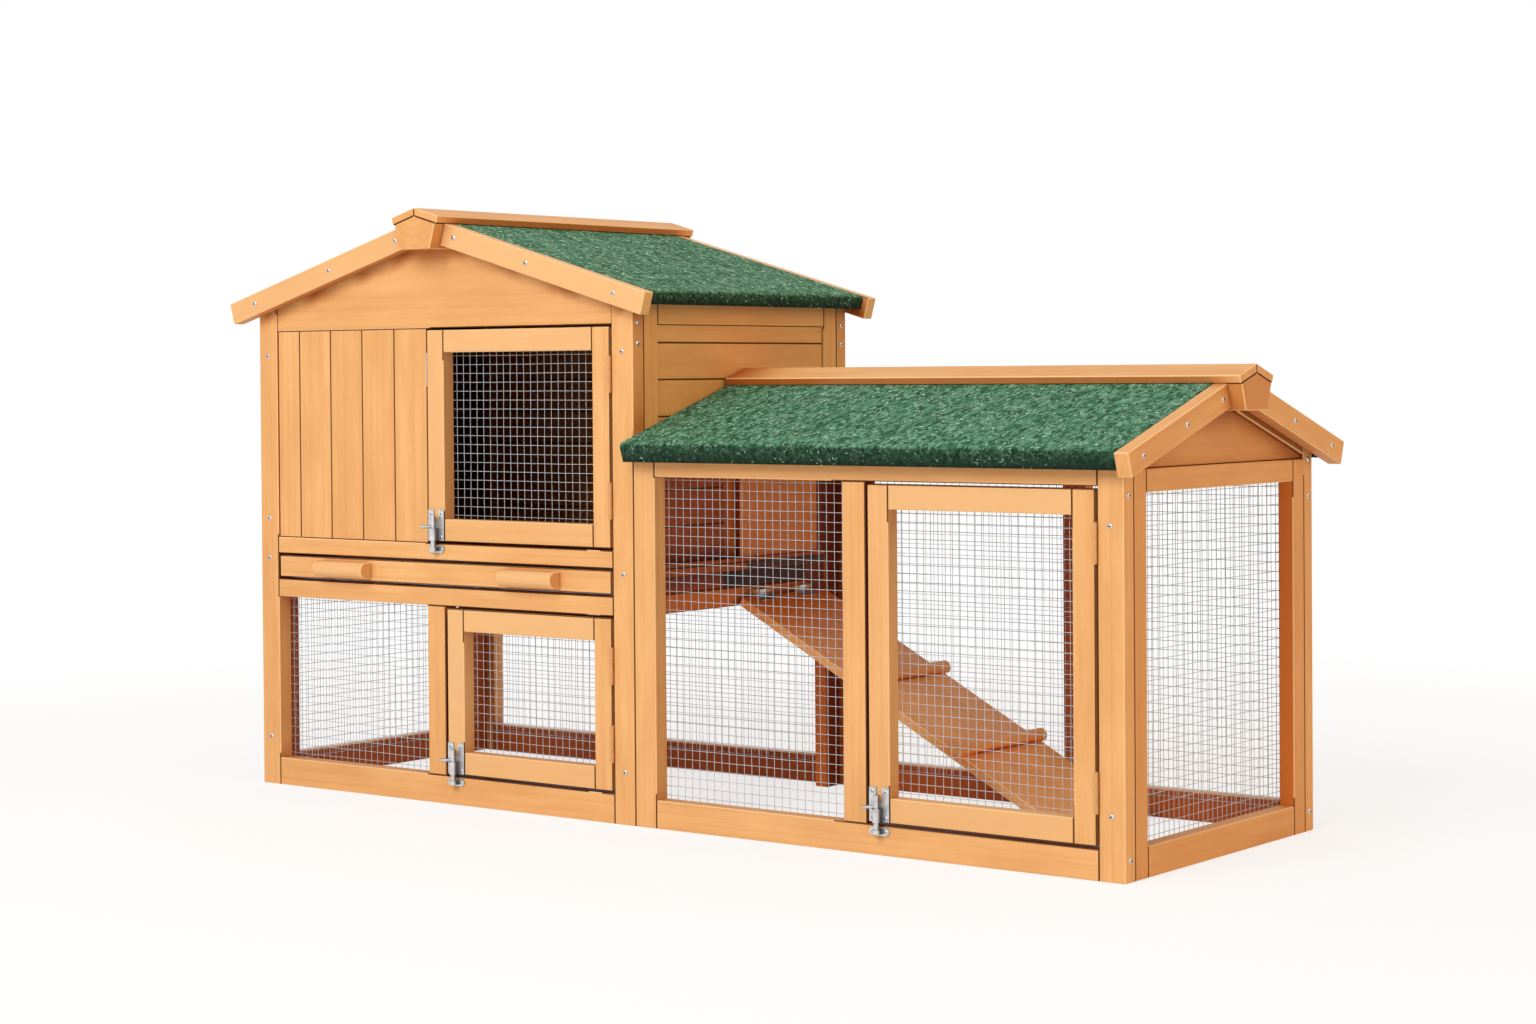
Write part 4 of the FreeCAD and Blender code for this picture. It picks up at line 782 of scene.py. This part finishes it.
net_tree, start, end = group("welded net", ("Width", "Height", "Pitch", "Wire Radius", "Bend"))
sizes = start.outputs
both = put(net_tree, "GeometryNodeJoinGeometry")
for length, spread, along, across in (("Height", "Width", "z", "x"), ("Width", "Height", "x", "z")):
    gaps = maths(net_tree, "ROUND", maths(net_tree, "DIVIDE", sizes[spread], sizes["Pitch"]))
    line = put(net_tree, "GeometryNodeMeshLine", {
        "Count": maths(net_tree, "ADD", gaps, 1.0), "Offset": vector(net_tree, **{across: sizes[spread]})},
        mode="END_POINTS")
    wire = put(net_tree, "GeometryNodeCurvePrimitiveLine", {
        "End": vector(net_tree, **{along: sizes[length]})})
    steps = put(net_tree, "GeometryNodeResampleCurve", {
        "Curve": wire.outputs["Curve"], "Count": WIRE_POINTS})
    section = put(net_tree, "GeometryNodeCurvePrimitiveCircle", {
        "Resolution": WIRE_SIDES, "Radius": sizes["Wire Radius"]})
    tube = put(net_tree, "GeometryNodeCurveToMesh", {
        "Curve": steps.outputs["Curve"], "Profile Curve": section.outputs["Curve"], "Fill Caps": True})
    laid = put(net_tree, "GeometryNodeInstanceOnPoints", {
        "Points": line.outputs["Mesh"], "Instance": tube.outputs["Mesh"]})
    depth = maths(net_tree, "MULTIPLY", sizes["Wire Radius"], WELD_DEPTH[along])
    shifted = put(net_tree, "GeometryNodeTransform", {
        "Geometry": laid.outputs["Instances"], "Translation": vector(net_tree, y=depth)})
    net_tree.links.new(shifted.outputs["Geometry"], both.inputs["Geometry"])
welded = put(net_tree, "GeometryNodeRealizeInstances", {"Geometry": both.outputs["Geometry"]})
wander = put(net_tree, "ShaderNodeTexNoise", {"Scale": BEND_SCALE, "Detail": 1.0})
centred = put(net_tree, "ShaderNodeVectorMath", {
    0: wander.outputs["Color"], 1: (0.5, 0.5, 0.5)}, operation="SUBTRACT")
bent = put(net_tree, "ShaderNodeVectorMath", {
    0: centred.outputs["Vector"], "Scale": sizes["Bend"]}, operation="SCALE")
moved = put(net_tree, "GeometryNodeSetPosition", {
    "Geometry": welded.outputs["Geometry"], "Offset": bent.outputs["Vector"]})
plug(net_tree, coated(net_tree, moved.outputs["Geometry"], sizes["Finish"]), end.inputs["Geometry"])


# %% [markdown]
# ## A net for each frame
# The tree runs once for each coarse sheet, with that sheet's own width and height. Its result is kept as a
# plain mesh, set in the middle of the sheet, and takes the sheet's place on the same body.

# %% A net for each frame
def grown(name, made, values, seed_mesh=None):
    """Run a tree on a seed mesh and keep the result as a plain mesh."""
    host = bpy.data.objects.new(name, seed_mesh or bpy.data.meshes.new(name + "_seed"))
    bpy.context.scene.collection.objects.link(host)
    modifier = host.modifiers.new(name, "NODES")
    modifier.node_group = made
    named = {item.name: item.identifier for item in made.interface.items_tree if item.in_out == "INPUT"}
    for label, value in values.items():
        modifier[named[label]] = value
    bpy.context.view_layer.update()
    mesh = bpy.data.meshes.new_from_object(host.evaluated_get(bpy.context.evaluated_depsgraph_get()))
    bpy.data.objects.remove(host)
    mesh.name = name
    return mesh


NET_PITCH = 0.0115
NET_WIRE_RADIUS = 0.00039
NET_BEND = 0.0015
NET_EDGE = 0.003

for name in sorted(n for n in nodes if n.endswith("_net")):
    low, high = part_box(name)
    size = high - low
    sideways = size.x < size.y
    mesh = grown(name + "_wires", net_tree, {
        "Width": max(size.x, size.y) - 2 * NET_EDGE, "Height": size.z - 2 * NET_EDGE, "Pitch": NET_PITCH,
        "Wire Radius": NET_WIRE_RADIUS, "Bend": NET_BEND, "Finish": wire_zinc})
    inset = Vector((size.x / 2, NET_EDGE, NET_EDGE) if sideways else (NET_EDGE, size.y / 2, NET_EDGE))
    turn = Matrix.Rotation(math.pi / 2, 4, "Z") if sideways else Matrix.Identity(4)
    mesh.transform(Matrix.Translation(low + inset) @ turn)
    piece = shown(name + "_wires", mesh, nodes[name]["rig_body"])
    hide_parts(name)
    print(name, len(mesh.polygons), "faces")


# %% [markdown]
# ## Felt
# Mineral felt is bitumen board strewn with crushed green slate. From a step away it is a dark green ground
# with pale and dark flecks. The ground is a finish with cells of a few millimetres and thin pale lines, where
# the slate lies on edge. Where the sheet is bent down over the eave, its lip is painted nearly black as
# shade, the more the further it turns from facing up and the nearer it is to its foot.

# %% Felt: the ground
FELT_GREEN = (0.042, 0.165, 0.084, 1.0)
FELT_DARK = (0.008, 0.048, 0.022, 1.0)
FELT_LIGHT = (0.150, 0.350, 0.230, 1.0)
FELT_PALE = (0.44, 0.70, 0.56, 1.0)
# Nearly black painted shade for the lip at the eave.
FELT_PAINTED_LIP_SHADE = (0.001, 0.010, 0.004, 1.0)
GRANULE_SCALE = 260.0
WORM_SCALE = 150.0
PATCH_SCALE = 70.0
DOWN_THE_SLOPE = 0.55
# Shares of painted lip shade at the foot of the lip and at its top.
LIP_SHADE_SHARES = (0.97, 0.70)
TOWER_LIP = 0.011
RUN_LIP = 0.017


def felt_finish(name, stretch, foot, lip):
    """Green slate on bitumen; the slate was rolled down the slope, so its cells are longer that way."""
    finish, tree, shader = new_finish(name, 0.85)
    shader.inputs["Specular IOR Level"].default_value = 0.2
    place = own_place(tree)
    rolled = scaled(tree, place, stretch)
    granules = put(tree, "ShaderNodeTexVoronoi", {"Vector": rolled, "Scale": GRANULE_SCALE})
    tint = granules.outputs["Color"]
    colour = mix(tree, between(tree, tint, 0.15, 0.50), FELT_DARK, FELT_GREEN)
    colour = mix(tree, between(tree, tint, 0.50, 0.90), colour, FELT_LIGHT)
    worms = noise(tree, rolled, WORM_SCALE, 2.0, 0.5)
    ridge = maths(tree, "ABSOLUTE", maths(tree, "SUBTRACT", worms, 0.5))
    patches = between(tree, noise(tree, rolled, PATCH_SCALE, 2.0, 0.5), 0.46, 0.58)
    line = maths(tree, "MULTIPLY", between(tree, ridge, 0.005, 0.03, 0.75, 0.0), patches)
    colour = mix(tree, line, colour, FELT_PALE)
    rise = xyz(tree, put(tree, "ShaderNodeNewGeometry").outputs["Normal"])["Z"]
    # Painted shade on the lip: darker where it faces sideways or down, and darkest at its foot.
    painted_lip_shade = maths(tree, "MULTIPLY", between(tree, rise, 0.2, 0.8, 1.0, 0.0),
                 between(tree, xyz(tree, place)["Z"], foot, foot + lip, *LIP_SHADE_SHARES))
    plug(tree, mix(tree, painted_lip_shade, colour, FELT_PAINTED_LIP_SHADE), shader.inputs["Base Color"])
    bump(tree, maths(tree, "ADD", granules.outputs["Distance"], line), shader, 0.6, 0.0012)
    return finish


felts = {"tower_felt": felt_finish("tower_mineral_felt", (DOWN_THE_SLOPE, 1.0, 1.0),
                                   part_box("tower_felt")[0].z, TOWER_LIP),
         "run_felt": felt_finish("run_mineral_felt", (1.0, DOWN_THE_SLOPE, 1.0),
                                 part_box("run_felt")[0].z, RUN_LIP)}
for name, finish in felts.items():
    nodes[name].data.materials.clear()
    nodes[name].data.materials.append(finish)


# %% [markdown]
# ## Flakes on the felt
# The palest flakes stand up from the felt and catch the light one by one. They are long four-sided chips,
# scattered over the sheet by a tree: it spreads points on the faces whose slope lies between two limits, and
# sets a chip on each, turned and sized by chance. It runs four times for each sheet: for green flakes and
# white specks, on the slope and on the lip at the eave.

# %% Flakes on the felt
FLAKE_DENSITY = 5500.0
FLAKE_LENGTH = 0.0058
FLAKE_RISE = 0.0008
FLAKE_SEED = 5
FLAKE_WHITE = (0.80, 0.92, 0.86, 1.0)
SPECK_DENSITY = 900.0
SPECK_LENGTH = 0.0044
EAVE_FLAKE_DENSITY = 7700.0
EAVE_SPECK_DENSITY = 4500.0
ON_SLOPE = (0.5, 1.1)
ON_LIP = (-0.4, 0.25)
LEAST_CHIP = (0.4, 0.18, 0.6)
LARGEST_CHIP = (1.4, 0.34, 1.2)

flake_tree, start, end = group("felt flakes", ("Density", "Length", "Rise", "Steepest", "Flattest"))
sizes = start.outputs
rise = xyz(flake_tree, put(flake_tree, "GeometryNodeInputNormal").outputs["Normal"])["Z"]
not_steep = maths(flake_tree, "GREATER_THAN", rise, sizes["Steepest"])
not_flat = maths(flake_tree, "LESS_THAN", rise, sizes["Flattest"])
spread = put(flake_tree, "GeometryNodeDistributePointsOnFaces", {
    "Mesh": sizes["Geometry"], "Selection": maths(flake_tree, "MULTIPLY", not_steep, not_flat),
    "Density": sizes["Density"], "Seed": FLAKE_SEED})
chip = put(flake_tree, "GeometryNodeMeshCone", {
    "Vertices": 4, "Radius Top": 0.0, "Radius Bottom": maths(flake_tree, "MULTIPLY", sizes["Length"], 0.5),
    "Depth": sizes["Rise"]}, fill_type="NONE")
chip_size = put(flake_tree, "FunctionNodeRandomValue", {
    "Min": LEAST_CHIP, "Max": LARGEST_CHIP, "Seed": FLAKE_SEED + 1}, data_type="FLOAT_VECTOR")
spun = put(flake_tree, "FunctionNodeRandomValue", {"Seed": FLAKE_SEED + 2}, data_type="FLOAT")
socket(spun.inputs, "Max_001").default_value = 2 * math.pi
turned = put(flake_tree, "FunctionNodeRotateRotation", {
    "Rotation": spread.outputs["Rotation"],
    "Rotate By": vector(flake_tree, z=socket(spun.outputs, "Value_001"))}, rotation_space="LOCAL")
laid = put(flake_tree, "GeometryNodeInstanceOnPoints", {
    "Points": spread.outputs["Points"], "Instance": chip.outputs["Mesh"],
    "Rotation": turned.outputs["Rotation"], "Scale": socket(chip_size.outputs, "Value")})
plug(flake_tree, coated(flake_tree, laid.outputs["Instances"], sizes["Finish"]), end.inputs["Geometry"])

flake_pale = clouded_finish("pale_flake", 0.6, 0.0, 140.0, 1.0, (0.40, 0.62), FELT_LIGHT, FELT_PALE)[0]
flake_white = clouded_finish("white_flake", 0.5, 0.0, 120.0, 1.0, (0.42, 0.58), FELT_PALE, FLAKE_WHITE)[0]
strewn = {"flakes": (FLAKE_DENSITY, FLAKE_LENGTH, ON_SLOPE, flake_pale),
          "specks": (SPECK_DENSITY, SPECK_LENGTH, ON_SLOPE, flake_white),
          "eave_flakes": (EAVE_FLAKE_DENSITY, SPECK_LENGTH, ON_LIP, flake_pale),
          "eave_specks": (EAVE_SPECK_DENSITY, SPECK_LENGTH, ON_LIP, flake_white)}
for name in ("tower_felt", "run_felt"):
    for kind, (density, length, slopes, finish) in strewn.items():
        mesh = grown(name + "_" + kind, flake_tree, {
            "Density": density, "Length": length, "Rise": FLAKE_RISE, "Steepest": slopes[0],
            "Flattest": slopes[1], "Finish": finish}, nodes[name].data.copy())
        shown(name + "_" + kind, mesh, "frame")
        print(name, kind, len(mesh.polygons), "faces")


# %% [markdown]
# ## Screws
# Pan-head screws hold the panels to each other and the barge boards to the roof. They repeat, so one head is
# made in a tree and set on points. Each point carries the direction that its head faces. The cross slot is a
# separate dark shape: painted shade, standing in for the shade inside the slot.

# %% Screws: the tree
HEAD_RINGS = 8
HEAD_SIDES = 18
SLOT_LENGTH = 1.05
SLOT_SINK = 0.42
# Colours of the painted shade in the screws' cross slots.
SLOT_SHADE_DARK = (0.05, 0.045, 0.04, 1.0)
SLOT_SHADE_PALE = (0.16, 0.14, 0.12, 1.0)

screw_tree, start, end = group("pan head screws", ("Radius", "Rise", "Slot"))
screw_tree.interface.new_socket("Slot Shade", in_out="INPUT", socket_type="NodeSocketMaterial")
sizes = start.outputs
facing = put(screw_tree, "GeometryNodeInputNamedAttribute", {"Name": "facing"}, data_type="FLOAT_VECTOR")
spin = put(screw_tree, "GeometryNodeInputNamedAttribute", {"Name": "spin"}, data_type="FLOAT")
upright = put(screw_tree, "FunctionNodeAlignRotationToVector", {
    "Vector": facing.outputs["Attribute"]}, axis="Z")
turned = put(screw_tree, "FunctionNodeRotateRotation", {
    "Rotation": upright.outputs["Rotation"],
    "Rotate By": vector(screw_tree, z=spin.outputs["Attribute"])}, rotation_space="LOCAL")
ball = put(screw_tree, "GeometryNodeMeshUVSphere", {
    "Segments": HEAD_SIDES, "Rings": HEAD_RINGS, "Radius": sizes["Radius"]})
flat_share = maths(screw_tree, "DIVIDE", sizes["Rise"], sizes["Radius"])
pan = put(screw_tree, "GeometryNodeTransform", {
    "Geometry": ball.outputs["Mesh"], "Scale": vector(screw_tree, 1.0, 1.0, flat_share)})
smooth = put(screw_tree, "GeometryNodeSetShadeSmooth", {"Geometry": pan.outputs["Geometry"]})
reach = maths(screw_tree, "MULTIPLY", sizes["Radius"], SLOT_LENGTH)
lift = maths(screw_tree, "SUBTRACT", sizes["Rise"], maths(screw_tree, "MULTIPLY", sizes["Slot"], SLOT_SINK))
cross = put(screw_tree, "GeometryNodeJoinGeometry")
for long_way in ("x", "y"):
    arm_size = {"x": sizes["Slot"], "y": sizes["Slot"], "z": sizes["Slot"], long_way: reach}
    arm = put(screw_tree, "GeometryNodeMeshCube", {"Size": vector(screw_tree, **arm_size)})
    lifted = put(screw_tree, "GeometryNodeTransform", {
        "Geometry": arm.outputs["Mesh"], "Translation": vector(screw_tree, z=lift)})
    screw_tree.links.new(lifted.outputs["Geometry"], cross.inputs["Geometry"])
joined = put(screw_tree, "GeometryNodeJoinGeometry")
for shape, finish in ((smooth, sizes["Finish"]), (cross, sizes["Slot Shade"])):
    laid = put(screw_tree, "GeometryNodeInstanceOnPoints", {
        "Points": sizes["Geometry"], "Instance": shape.outputs["Geometry"],
        "Rotation": turned.outputs["Rotation"]})
    screw_tree.links.new(coated(screw_tree, laid.outputs["Instances"], finish), joined.inputs["Geometry"])
plug(screw_tree, joined.outputs["Geometry"], end.inputs["Geometry"])

# Painted shade for the cross slot, dark where the hollow would be in shade.
painted_slot_shade = clouded_finish("slot_painted_shade", 0.8, 0.0, 900.0, 4.0, (0.0, 1.0), SLOT_SHADE_DARK, SLOT_SHADE_PALE)[0]


# %% [markdown]
# ## Where the screws sit
# The heights were read from the photograph. Screws sit in the middle of the posts, on the run's end, on the
# tower's side and along the barge boards, where they follow the middle line from the eave to the ridge beam.

# %% Where the screws sit
SCREW_RADIUS = 0.0034
SCREW_RISE = 0.44
SCREW_SLOT = 0.30
POST_MIDDLE = 0.017
TOWER_POST_SCREWS = (0.586, 0.310, 0.065)
LEFT_POST_SCREW = 0.364
RUN_POST_SCREWS = (0.389, 0.072)
END_FRONT_SCREWS = (0.422, 0.024)
END_BACK_SCREWS = (0.450, 0.405, 0.024)
TOWER_SIDE_SCREWS = (0.621, 0.596)
BARGE_HEIGHT = 0.029
BARGE_SHARES = (0.15, 0.58, 0.95)
ROOF_ANGLE = {"tower_barge_boards": math.radians(16), "run_barge_boards": math.radians(18)}
FRONTWARD = Vector((0, -1, 0))
BACKWARD = Vector((0, 1, 0))
RIGHTWARD = Vector((1, 0, 0))

tower_low, tower_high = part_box("tower_front_frame")
tower_back_low, tower_back_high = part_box("tower_back_frame")
run_low, run_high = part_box("run_front_frame")
run_back_low, run_back_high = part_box("run_back_frame")
screw_points = []


def screw(x, y, z, facing):
    screw_points.append((Vector((x, y, z)), facing))


def along_barge(node, axis, facing):
    """Screws along the middle line of the two sloping boards that a box holds."""
    low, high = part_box(node)
    beam_low, beam_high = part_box(node.replace("barge_boards", "ridge_beam"))
    lean = math.cos(ROOF_ANGLE[node])
    for share in BARGE_SHARES:
        inward = share * (beam_low[axis] - low[axis])
        top = low.z + BARGE_HEIGHT * lean + inward * math.tan(ROOF_ANGLE[node])
        height = top - BARGE_HEIGHT / lean / 2
        place = low[axis] + inward
        for mirrored in (place, beam_low[axis] + beam_high[axis] - place):
            if facing is RIGHTWARD:
                screw(high.x, mirrored, height, facing)
            else:
                screw(mirrored, low.y if facing is FRONTWARD else high.y, height, facing)


for z in TOWER_POST_SCREWS:
    screw(tower_low.x + POST_MIDDLE, tower_low.y, z, FRONTWARD)
    screw(tower_high.x - POST_MIDDLE, tower_low.y, z, FRONTWARD)
screw(tower_low.x + POST_MIDDLE, tower_low.y, LEFT_POST_SCREW, FRONTWARD)
for z in RUN_POST_SCREWS:
    screw(run_high.x - POST_MIDDLE, run_low.y, z, FRONTWARD)
for z in END_FRONT_SCREWS:
    screw(run_high.x, (run_low.y + run_high.y) / 2, z, RIGHTWARD)
for z in END_BACK_SCREWS:
    screw(run_high.x, (run_back_low.y + run_back_high.y) / 2, z, RIGHTWARD)
for z in TOWER_SIDE_SCREWS:
    screw(tower_back_high.x, (tower_back_low.y + tower_back_high.y) / 2, z, RIGHTWARD)
    screw(tower_high.x, (tower_low.y + tower_high.y) / 2, z, RIGHTWARD)
along_barge("tower_barge_boards", 0, FRONTWARD)
along_barge("tower_barge_boards", 0, BACKWARD)
along_barge("run_barge_boards", 1, RIGHTWARD)


def set_screws(name, places, body, radius):
    """Pan heads on places that each carry the direction their head faces."""
    points = bpy.data.meshes.new(name)
    points.from_pydata([place for place, facing in places], [], [])
    filled(points, "facing", "POINT", [c for place, facing in places for c in facing], "FLOAT_VECTOR")
    filled(points, "spin", "POINT", [chance.uniform(0, math.pi) for point in places])
    sizes = {"Radius": radius, "Rise": radius * SCREW_RISE, "Slot": radius * SCREW_SLOT}
    shown(name, grown(name, screw_tree, {**sizes, "Finish": zinc, "Slot Shade": painted_slot_shade}, points), body)
    print(name, len(places))


set_screws("panel_screws", screw_points, "frame", SCREW_RADIUS)


# %% [markdown]
# ## Screws of the bolts
# Each bolt's plate is held by four small screws and its keeper by two, one in each rounded end. The plate
# swings with its door, so its screws ride on the door; the keepers stay on the frame.

# %% Screws of the bolts
PLATE_SCREW_RADIUS = 0.0022
PLATE_THICK = 0.0012
PLATE_INSET = 0.0048
KEEPER_DROP = 0.011

keeper_places = []
for door in ("upper", "lower", "run"):
    low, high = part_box(door + "_bolt_case")
    face_y = high.y - PLATE_THICK
    columns = (low.x + PLATE_INSET, high.x - PLATE_INSET)
    heights = (low.z + PLATE_INSET, high.z - PLATE_INSET)
    plate_places = [(Vector((x, face_y, z)), FRONTWARD) for x in columns for z in heights]
    set_screws(door + "_plate_screws", plate_places, door + "_door", PLATE_SCREW_RADIUS)
    keeper_places += [(Vector((x, face_y, low.z - KEEPER_DROP)), FRONTWARD) for x in columns]
set_screws("keeper_screws", keeper_places, "frame", PLATE_SCREW_RADIUS)


# %% [markdown]
# ## Small fittings
# Two thin strips finish the doors. A zinc edge strip on the upper door keeps its free edge from splintering,
# and a stop batten behind the lower door's head closes the gap there against the draught. The stop carries
# painted room shade, so the gap above the lower door shows dark.

# %% Small fittings
def block(name, low, high, body, finish):
    """A plain block between two corners."""
    shape = bmesh.new()
    bmesh.ops.create_cube(shape, size=1.0)
    for vertex in shape.verts:
        vertex.co = Vector([low[i] if vertex.co[i] < 0 else high[i] for i in range(3)])
    mesh = bpy.data.meshes.new(name)
    shape.to_mesh(mesh)
    shape.free()
    mesh.materials.append(finish)
    return shown(name, mesh, body)


STRIP_THICK = 0.0012
STRIP_REACH = 0.0006
STRIP_DEPTH = 0.014
STRIP_HEIGHTS = (0.544, 0.5875)
STOP_DEPTH = 0.006
STOP_HEIGHT = 0.016
STOP_SHOWS = 0.010

low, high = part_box("upper_door_frame")
block("upper_door_strip", (low.x - STRIP_THICK, low.y - STRIP_REACH, STRIP_HEIGHTS[0]),
      (low.x, low.y + STRIP_DEPTH, STRIP_HEIGHTS[1]), "upper_door", zinc)
low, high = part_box("lower_door_frame")
stop_top = high.z - STOP_SHOWS + STOP_HEIGHT
stop = block("lower_door_stop", (low.x, tower_high.y, high.z - STOP_SHOWS),
             (high.x, tower_high.y + STOP_DEPTH, stop_top), "frame", honey)
corners = stop.data.vertices
filled(stop.data, "grain", "POINT", [c for vertex in corners for c in vertex.co], "FLOAT_VECTOR")
# Painted shade: the stop takes the room's shade, so it reads dark in the gap.
filled(stop.data, "shade", "POINT", [ROOM_SHADE for vertex in corners])
filled(stop.data, "roofed", "POINT", [1.0 for vertex in corners])
print("stop from", round(low.x, 3), "to", round(high.x, 3))
